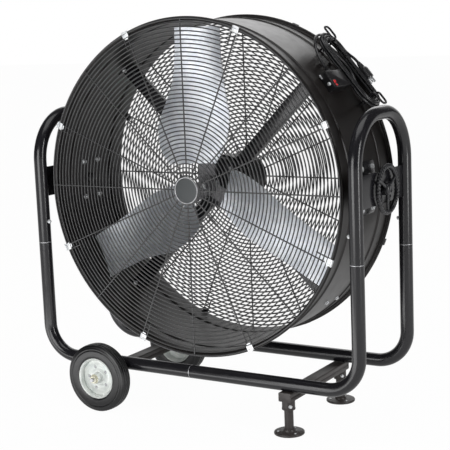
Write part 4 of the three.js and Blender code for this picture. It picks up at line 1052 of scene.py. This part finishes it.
fan = {
    "count": 3, "root": 64, "tip": 452, "lead": 120, "trail": 72, "front": -122, "rear": -44, "camber": 9,
    "thickness": 2.5, "hub": 30, "hubFront": -76, "hubRear": -28, "bore": 8.3, "shaft": (-81, 160.7),
    "armReach": 118, "armHalf": 24, "armThickness": 4, "armGap": 1.7,
    "rivets": ((76, -9), (76, 9), (104, -12), (104, 12)),    # out from the axis, and across the blade
    "rivet": [(0, -0.4), (5, -0.4), (5, 0.5), (4.4, 1.5), (3, 2.3), (0, 2.7)],
    "setScrew": [(0, 0), (5.4, 0), (5.4, 5), (4.6, 6.2), (2.6, 6.2), (2.4, 3.6), (0, 3.4)],
    "outline": [                             # span, ahead, behind, how far forward each edge lies
        (0, 0.825, 0.43, 0.744, 0.205), (0.067, 0.925, 0.62, 0.897, 0.1), (0.139, 0.983, 0.806, 0.962, 0.026),
        (0.222, 1, 0.917, 1, 0.013), (0.32, 0.971, 1, 0.974, 0), (0.415, 0.883, 0.972, 0.846, 0.026),
        (0.518, 0.79, 0.917, 0.679, 0.077), (0.634, 0.717, 0.861, 0.526, 0.1), (0.814, 0.667, 0.82, 0.46, 0.16),
        (1, 0.642, 0.82, 0.46, 0.167),
    ],
}


def bladeEdges(span):                        # smooth through the stations of the outline
    rows = fan["outline"]
    index = max(i for i in range(len(rows) - 1) if rows[i][0] <= span)
    a, b = rows[index], rows[index + 1]
    t = (span - a[0]) / (b[0] - a[0])
    before, after = rows[max(index - 1, 0)], rows[min(index + 2, len(rows) - 1)]
    edges = []
    for k in range(1, 5):
        leave = (b[k] - before[k]) / (b[0] - before[0]) * (b[0] - a[0])
        arrive = (after[k] - a[k]) / (after[0] - a[0]) * (b[0] - a[0])
        edges.append(a[k] * (2 * t ** 3 - 3 * t ** 2 + 1) + leave * (t ** 3 - 2 * t ** 2 + t)
                     + b[k] * (3 * t ** 2 - 2 * t ** 3) + arrive * (t ** 3 - t ** 2))
    return edges


def bladePoint(radius, across, offset, turn):
    span = min(max((radius - fan["root"]) / (fan["tip"] - fan["root"]), 0), 1)
    ahead, behind, aheadForward, behindForward = bladeEdges(span)
    aheadX, behindX = ahead * fan["lead"], -behind * fan["trail"]
    aheadY = fan["rear"] + (fan["front"] - fan["rear"]) * aheadForward
    behindY = fan["rear"] + (fan["front"] - fan["rear"]) * behindForward
    share = (across - behindX) / (aheadX - behindX)
    y = behindY + (aheadY - behindY) * share + 4 * fan["camber"] * share * (1 - share) + offset
    angle = math.radians(turn)
    return centre + around(radius, angle, y) + around(across, angle + pi / 2)


def bladeSheet(shape, rows, thickness, offset, turn):
    rings = []
    for row in rows:
        front = [bladePoint(radius, across, offset - thickness / 2, turn) for radius, across in row]
        back = [bladePoint(radius, across, offset + thickness / 2, turn) for radius, across in reversed(row)]
        rings.append(front + back)
    shape.loft(rings, caps=True)


def makeFan():
    hub = Shape()
    rivets = Shape()
    r, low, high = fan["hub"], fan["hubFront"], fan["hubRear"]
    bore, root, reach = fan["bore"], fan["root"], fan["armReach"]
    tip, shaftRear = fan["shaft"]
    hub.turned(along, [
        (bore, low), (bore + 5, low), (bore + 6, low + 1), (19, low + 1.6), (19, low + 7), (21, low + 9),
        (r - 2, low + 9), (r, low + 11), (r, high - 2), (r - 2, high), (bore, high),
    ], 72)
    offset = (fan["thickness"] + fan["armThickness"]) / 2 + fan["armGap"]
    face = 0.2 - fan["thickness"] / 2
    for k in range(fan["count"]):
        turn = 90 + 360 / fan["count"] * k
        rows = []
        for i in range(37):
            ahead, behind = bladeEdges(i / 36)[:2]
            behind, ahead = -behind * fan["trail"], ahead * fan["lead"]
            radius = root + (fan["tip"] - root) * i / 36
            rows.append([(radius, behind + (ahead - behind) * c / 16) for c in range(17)])
        blade = Shape()
        bladeSheet(blade, rows, fan["thickness"], 0, turn)
        makePiece(f"blade_{k + 1}", blade, "blade_aluminium", "rotor", (f"fan_blade_{k + 1}",), sharp=45)
        arm = []
        for i in range(13):                  # the arm's end is drawn in over its last two rows
            half = fan["armHalf"] * {11: 0.9, 12: 0.7}.get(i, 1)
            arm.append([(r / 2 + (reach - r / 2) * i / 12, half * (c / 4 - 1)) for c in range(9)])
        bladeSheet(hub, arm, fan["armThickness"], offset, turn)
        for radius, across in fan["rivets"]:
            spot = bladePoint(radius, across, face, turn)
            ahead = bladePoint(radius, across + 4, face, turn) - spot
            outward = bladePoint(radius + 4, across, face, turn) - spot
            normal = ahead.cross(outward).normalized()
            normal = normal if normal.y < 0 else -normal
            rivets.turned(aimed(spot, normal), fan["rivet"], 24, False)
    rivets.turned(outwards(18, r - 0.6, low + 17), fan["setScrew"], 24, False)
    rivets.hexHead(along @ moved(0, 0, tip) @ Matrix.Rotation(pi, 4, "X"), 13, 5, 1.2)
    # the hub's finish carries painted shade: a steel darkened to how the hub looks in shadow
    makePiece("fan_hub_casting", hub, "hub_steel_painted_shade", "rotor", ("fan_hub",), sharp=45)
    makePiece("blade_rivets", rivets, "zinc_plate", "rotor")
    shaft = [(0, tip), (7, tip), (8, tip + 1), (8, shaftRear), (0, shaftRear)]
    makePiece("shaft", Shape().turned(along, shaft, 40, False), "steel", "rotor", ("motor_shaft",))


makeFan()
print("fan made")


pivot = {
    "bracketHalf": 52, "bracketRise": 73, "thickness": 4.6, "boltY": 34.5, "boltZ": 55, "boss": 31,
    "bossOut": 514.3, "boltRadius": 8, "boltHeadOut": 467.5, "rightEnd": 538.8, "leftEnd": 541.8,
    "nutIn": 524.8, "nutAcross": 27, "nutHeight": 13, "headRadius": 14.4, "capRadius": 16,
    "bracketBolt": (13, 5, 1), "bracketBoltTail": (13, 5.5, 1, 3.8),
}


def makePivots():
    bolts = Shape()
    caps = Shape()
    wall, thick, rise = drum["radius"] + 0.4, pivot["thickness"], pivot["bracketRise"]
    boss, top = pivot["boss"], pivot["bossOut"]
    head, r, reach, cap = pivot["boltHeadOut"], pivot["boltRadius"], pivot["headRadius"], pivot["capRadius"]
    flange = [
        (8.5, wall), (44, wall), (43, wall + 4.4), (38, wall + 6.6), (boss + 2.6, wall + 14),
        (boss, wall + 22), (boss, top - 1.6), (boss - 1.6, top), (8.5, top),
    ]
    dome = [
        (0, head - 7), (5, head - 6.9), (11, head - 6.4), (cap - 1.4, head - 5), (cap, head - 2.4), (cap, head),
        (cap - 1.3, head), (cap - 1.3, head - 4.2), (13, head - 5.3), (0, head - 5.3),
    ]
    for sideName, side in sides.items():
        facing = aimed(centre, (side, 0, 0), (0, 0, 1))
        middle = 0 if side > 0 else 180
        rings = []
        for k in range(17):                  # a plate bent to the drum, its corners drawn in
            share = k / 8 - 1
            half = pivot["bracketHalf"] * (1 if abs(share) < 0.9 else 0.93)
            turn = math.radians(middle) + rise * share / wall * side
            corners = ((wall, -half), (wall, half), (wall + thick, half), (wall + thick, -half))
            rings.append([centre + around(radius, turn, y) for radius, y in corners])
        bracket = Shape().loft(rings, caps=True).turned(facing, flange, 64)
        name = "pivot_bracket_" + sideName
        makePiece(name + "_steel", bracket, "frame_paint", "drum", (name,), bevel=0.6)
        for y in (-pivot["boltY"], pivot["boltY"]):
            for z in (-pivot["boltZ"], pivot["boltZ"]):
                degrees = middle + side * math.degrees(z / wall)
                bolts.hexHead(outwards(degrees, wall + thick - 0.2, y), *pivot["bracketBolt"])
                inside = outwards(degrees, drum["radius"] - drum["thickness"], y) @ Matrix.Rotation(pi, 4, "X")
                bolts.hexHead(inside, *pivot["bracketBoltTail"])
        end = pivot[sideName + "End"]
        bolt = Shape().turned(facing, [
            (0, head - 5), (13, head - 5), (reach, head - 4), (reach, head), (r, head), (r, end - 6),
            (0, end - 6),
        ], 48, False)
        bolt.thread(facing, r, end - 8, end, 1.4)
        caps.turned(facing, dome, 48, False)
        name = "pivot_bolt_" + sideName
        makePiece(name + "_steel", bolt, "zinc_plate", "drum", (name,))
    left = aimed(centre, (-1, 0, 0), (0, 0, 1)) @ moved(0, 0, pivot["nutIn"])
    nut = Shape().turned(left, [(8.4, 0), (17, 0), (17, 1.8), (16.4, 2.3), (8.4, 2.3)], 40)
    nut.hexHead(left @ moved(0, 0, 2.3), pivot["nutAcross"], pivot["nutHeight"] - 2.3)
    makePiece("lock_nut_left", nut, "zinc_plate", "drum", ("pivot_nut_left",))
    makePiece("bracket_bolts", bolts, "zinc_plate", "drum")
    makePiece("pivot_caps", caps, "black_plastic", "drum")


handwheel = {
    "radius": 70, "rim": 7.5, "rimHalf": 7.2, "lobes": 40, "hub": 17, "bore": 8.6,
    "inner": 524.8, "outer": 544.8, "spokes": 3, "spokeHalf": 4.4, "spokeThick": (4.4, 3),
}


def makeHandwheel():
    facing = aimed(centre, (1, 0, 0), (0, 0, 1))
    hub, bore, rim = handwheel["hub"], handwheel["bore"], handwheel["rim"]
    inner, outer = handwheel["inner"], handwheel["outer"]
    middle = (inner + outer) / 2
    reach = handwheel["radius"] - rim
    shape = Shape()
    rings = []
    steps = handwheel["lobes"] * 8
    for i in range(steps):                   # grip lobes round the rim, a valley between each pair
        turn = 2 * pi * i / steps
        swell = abs(math.cos(turn * handwheel["lobes"] / 2)) ** 0.6
        ring = []
        for s in range(20):
            angle = 2 * pi * s / 20
            lobe = 0.8 + 0.2 * swell if math.cos(angle) > -0.75 else 0.84
            r = reach + rim * lobe * math.cos(angle)
            z = middle + handwheel["rimHalf"] * lobe * math.sin(angle)
            ring.append(facing @ Vector((r * math.cos(turn), r * math.sin(turn), z)))
        rings.append(ring)
    shape.loft(rings, loop=True)
    shape.turned(facing, [
        (bore, inner), (hub - 1.5, inner), (hub, inner + 1.5), (hub - 1, outer - 5), (hub - 3, outer - 2),
        (hub - 6, outer - 0.6), (9, outer), (8, outer - 0.8), (0, outer - 1.2), (0, outer - 5),
        (bore, outer - 5),
    ], 56, False)
    near, far = handwheel["spokeThick"]
    for k in range(handwheel["spokes"]):     # dished spokes, wider and thicker towards the hub
        turn = pi + 2 * pi * k / handwheel["spokes"]
        out = Vector((math.cos(turn), math.sin(turn), 0))
        across = Vector((-math.sin(turn), math.cos(turn), 0))
        rings = []
        for i in range(11):
            share = i / 10
            spot = out * (14 + (reach - 14) * share) + Vector((0, 0, middle))
            half = handwheel["spokeHalf"] * (1.25 - 0.35 * math.sin(pi * share))
            thick = near + (far - near) * share
            ring = []
            for s in range(12):
                angle = 2 * pi * s / 12
                x = half * math.copysign(abs(math.cos(angle)) ** 0.6, math.cos(angle))
                z = thick * math.copysign(abs(math.sin(angle)) ** 0.6, math.sin(angle))
                ring.append(facing @ (spot + across * x + Vector((0, 0, z))))
            rings.append(ring)
        shape.loft(rings, caps=True)
    makePiece("tilt_handwheel_moulding", shape, "handwheel_plastic", "handwheel", ("tilt_handwheel",), sharp=55)


makePivots()
makeHandwheel()
print("pivots made")


box = {
    "angle": 37, "front": -51, "length": 93, "width": 54, "low": 471, "depth": 29, "wall": 2.5,
    "rockerY": -43, "rockerZ": -15, "rockerWidth": 11, "rockerLength": 18, "rise": 20, "tilt": 8,
    "gland": -5, "glandOut": 485.5, "glandLength": 24, "glandRadius": 7.5,
    "strap": (14, 7), "strapOut": 8, "strapZ": 21, "lidScrews": (26, 85), "lidScrewZ": 20,
    "screwDrop": 14, "screwZ": -8,
}


def makeBox():
    stand = standOnDrum(box["angle"])
    low, front, length, width = box["low"], box["front"], box["length"], box["width"]
    top = low + box["depth"]
    sideways = Matrix.Rotation(pi / 2, 4, "Y")
    rings = []
    for out, grow in (                       # the lid's edge stands a little proud of the box
        (low - 2, 0), (top - 6.5, 0), (top - 6.3, 0.8), (top - 3, 0.8), (top - 1.2, 0.2), (top, -1.6),
    ):
        outline = roundedBox(length - 1.6 + 2 * grow, width - 1.6 + 2 * grow, 4 + grow)
        rings.append([stand @ Vector((out, front + length / 2 + y, z)) for y, z in outline])
    case = Shape().loft(rings, caps=True)
    strap = stand @ moved(low + box["strapOut"], front - 1.5, box["strapZ"]) @ sideways
    tab = Shape().block(strap, *box["strap"], -0.8, 0.8)
    makePiece("switch_box_strap", tab, "zinc_plate", "drum", bevel=0.3)
    makePiece("switch_case", case, "box_paint", "drum", ("switch_box",), bevel=0.5)
    w, l = box["rockerWidth"] + 4, box["rockerLength"] + 4
    outer, inner = roundedBox(w, l, 1.4), roundedBox(w - 3.4, l - 3.4, 0.5)
    rows = []
    for outline, out in ((outer, top - 1), (outer, top + 0.6), (inner, top + 0.6), (inner, top - 1)):
        rows.append([stand @ Vector((out, box["rockerY"] + y, box["rockerZ"] + z)) for y, z in outline])
    makePiece("rocker_bezel", Shape().loft(rows, loop=True), "black_plastic", "drum", bevel=0.2)
    lids = Shape()
    for y in box["lidScrews"]:
        for z in (-box["lidScrewZ"], box["lidScrewZ"]):
            lids.panHead(stand @ moved(top - 0.4, front + y, z) @ sideways, 3.2, 1.3)
    makePiece("switch_lid_screws", lids, "black_plastic", "drum")
    face = stand @ moved(top - box["screwDrop"], front, box["screwZ"]) @ Matrix.Rotation(pi / 2, 4, "X")
    head = [(0, -0.5), (5.4, -0.5), (5.4, 0.8), (4.8, 1.6), (3.2, 2), (2.8, 1), (0, 1)]
    screw = Shape().turned(face, head, 32, False).hexHead(face @ moved(0, 0, 0.8), 5, 2.4)
    makePiece("switch_box_screws", screw, "zinc_plate", "drum")
    neck = stand @ moved(box["glandOut"], box["gland"], width / 2 + 0.2)
    r, length = box["glandRadius"], box["glandLength"]
    ribs = []
    for k in range(4):
        z, reach = 9.5 + k * 3.4, 6.1 - k * 0.25
        ribs += [(reach, z), (reach, z + 1.8), (reach - 0.8, z + 2.1), (reach - 0.8, z + 3.1)]
    profile = [(4.25, 0), (r, 0), (r, 1.4), (r - 0.6, 2), *ribs, (5, length), (4.25, length)]
    gland = Shape().turned(neck, profile, 40).hexHead(neck @ moved(0, 0, 1.6), 13, 6.6)
    makePiece("cord_gland_nut", gland, "black_plastic", "drum", ("cord_gland",))


def makeRocker():
    top = box["low"] + box["depth"] - box["wall"] / 2
    place = standOnDrum(box["angle"]) @ moved(top, box["rockerY"], box["rockerZ"])
    place = place @ Matrix.Rotation(math.radians(box["tilt"]), 4, "Y")
    reach, half = box["rockerLength"] / 2, box["rockerWidth"] / 2
    angles = [math.radians(degrees) for degrees in (-28, -12, 4, box["rise"])]
    side = [(reach * math.sin(a), reach * math.cos(a)) for a in angles]
    dip = [(1.7, 3), (1.2, 0), (1.7, -3)]
    outline = [*side, *dip, *[(x, -z) for x, z in reversed(side)]]
    rings = []
    for y, inset in ((-half, 0.5), (-half + 0.5, 0), (half - 0.5, 0), (half, 0.5)):
        scale = 1 - inset / reach
        rings.append([place @ Vector((x * scale, y, z * scale)) for x, z in outline])
    cap = Shape().loft(rings, caps=True)
    makePiece("rocker_cap", cap, "rocker_red", "rocker", ("switch_rocker",), bevel=0.25, sharp=30)


hooks = {"wire": 3, "y": 97, "half": 13.5, "leg": 96, "reach": 520, "turned": 42}


def makeHooks():
    stand = standOnDrum(cord["angle"])
    for sign, name in ((1, "upper"), (-1, "lower")):
        leg = sign * hooks["leg"]
        tip = leg + sign * hooks["turned"]
        foot = math.sqrt((drum["radius"] + 0.3) ** 2 - hooks["leg"] ** 2) + hooks["wire"] - 2
        near, far = hooks["y"] - hooks["half"], hooks["y"] + hooks["half"]
        reach = hooks["reach"]
        corners = [
            (foot, near, leg), (reach, near, leg), (reach, near, tip), (reach, far, tip), (reach, far, leg),
            (foot, far, leg),
        ]
        path = [stand @ point for point in bentPath(corners, hooks["wire"] * 3.6, 10)]
        shape = Shape().tube(path, hooks["wire"], 16)
        makePiece("hook_" + name, shape, "frame_paint", "drum", ("cord_hook_" + name,))


makeBox()
makeRocker()
makeHooks()
print("switch box made")


# Solids that show as they are, with a finish each.
kept = {
    "friction_disc_right": "friction_fibre", "friction_disc_left": "friction_fibre",
    "wheel_bushing_front": "bronze", "wheel_bushing_rear": "bronze",
    "motor_bearing_front": "steel", "motor_bearing_rear": "steel",
    "motor_stator": "steel", "rotor_core": "steel",
}
for node, finish in kept.items():
    materials = frame["nodes"][node].data.materials
    materials.clear()
    materials.append(finishes[finish])


studio = {
    "floor": 60, "floorColour": (0.85, 0.85, 0.85), "floorGlow": 0.975, "mirrorShare": 0.4,
    "diffuse": 0.4, "dark": 0.04, "backdrop": (-0.525, 0.851, 0),    # backdrop: the way the camera looks
    "lamps": [                               # name, place, aim, width, height, watts
        ("strip", (2.95, -0.52, 1.1), (0.3, 0, 0.7), 0.5, 2.0, 26),
        ("front", (-0.5, -3.4, 0.75), (0, 0, 0.6), 2.1, 2.2, 61),
        ("card", (-0.45, -0.84, 0.012), (-0.45, -0.8399, 1), 1.6, 0.8, 9.6),
        ("top", (0.3, -0.4, 3.2), (0, 0, 0.5), 2.4, 2.0, 24),
        ("rear", (-1.1, 3.0, 2.6), (0, 0, 0.8), 2.4, 1.2, 13),
    ],
}


def makeFloor():
    half = studio["floor"] / 2
    mesh = bpy.data.meshes.new("floor")
    corners = [(-half, -half, 0), (half, -half, 0), (half, half, 0), (-half, half, 0)]
    mesh.from_pydata(corners, [], [(0, 1, 2, 3)])
    floor = bpy.data.objects.new("floor", mesh)
    bpy.context.scene.collection.objects.link(floor)
    look = Look("floor")
    grain = look.noise(3, 3)
    colour = look.mix(grain * 0.04, studio["floorColour"], (0.8, 0.8, 0.8))
    matte = look.node("BsdfPrincipled", {}, {"Base Color": colour, "Roughness": 0.8, "Specular IOR Level": 0.1})
    glow = look.node("Emission", {}, {"Color": (1, 1, 1, 1), "Strength": 1.0})
    seen = look.node("LightPath", {}, {}, "Is Camera Ray")
    mirrored = look.node("LightPath", {}, {}, "Is Glossy Ray")
    through = look.node("LightPath", {}, {}, "Is Transmission Ray")
    direct = look.maths("MAXIMUM", look.maths("MAXIMUM", seen, through), mirrored * studio["mirrorShare"])
    shown = look.node("MixShader", {}, {0: direct * studio["floorGlow"], 1: matte, 2: glow})
    look.node("OutputMaterial", {}, {"Surface": shown})
    mesh.materials.append(look.owner)


def makeWorld():                             # white behind the object, a darker room all round it
    sky = Look("studio", bpy.data.worlds)
    toward = sky.node("TexCoord", {}, {}, "Generated")
    facing = sky.node("VectorMath", {"operation": "DOT_PRODUCT"}, {0: toward, 1: studio["backdrop"]}, 1)
    shown = sky.step(facing, 0.6, 0.95) * (1 - studio["dark"]) + studio["dark"]
    mirrored = sky.node("LightPath", {}, {}, "Is Glossy Ray")
    seen = sky.node("LightPath", {}, {}, "Is Camera Ray")
    through = sky.node("LightPath", {}, {}, "Is Transmission Ray")
    room = mirrored * (shown - studio["diffuse"]) + studio["diffuse"]
    direct = sky.maths("MAXIMUM", seen, through)
    glow = sky.node("Background", {}, {"Color": (1, 1, 1, 1), "Strength": direct * (1 - room) + room})
    sky.node("OutputWorld", {}, {"Surface": glow})
    bpy.context.scene.world = sky.owner


def makeLamps():
    for name, place, aim, width, height, watts in studio["lamps"]:
        data = bpy.data.lights.new(name, "AREA")
        data.shape = "RECTANGLE"
        data.size = width
        data.size_y = height
        data.energy = watts
        lamp = bpy.data.objects.new(name, data)
        away = Vector(place) - Vector(aim)
        lamp.matrix_world = aimed(place, away, Vector((0, 0, 1)).cross(away))
        lamp.visible_camera = False
        lamp.visible_diffuse = name != "card"    # the card is there for what shines
        bpy.context.scene.collection.objects.link(lamp)


makeFloor()
makeWorld()
makeLamps()
bpy.context.scene.view_settings.view_transform = "Standard"
print("studio made")

bpy.context.view_layer.update()
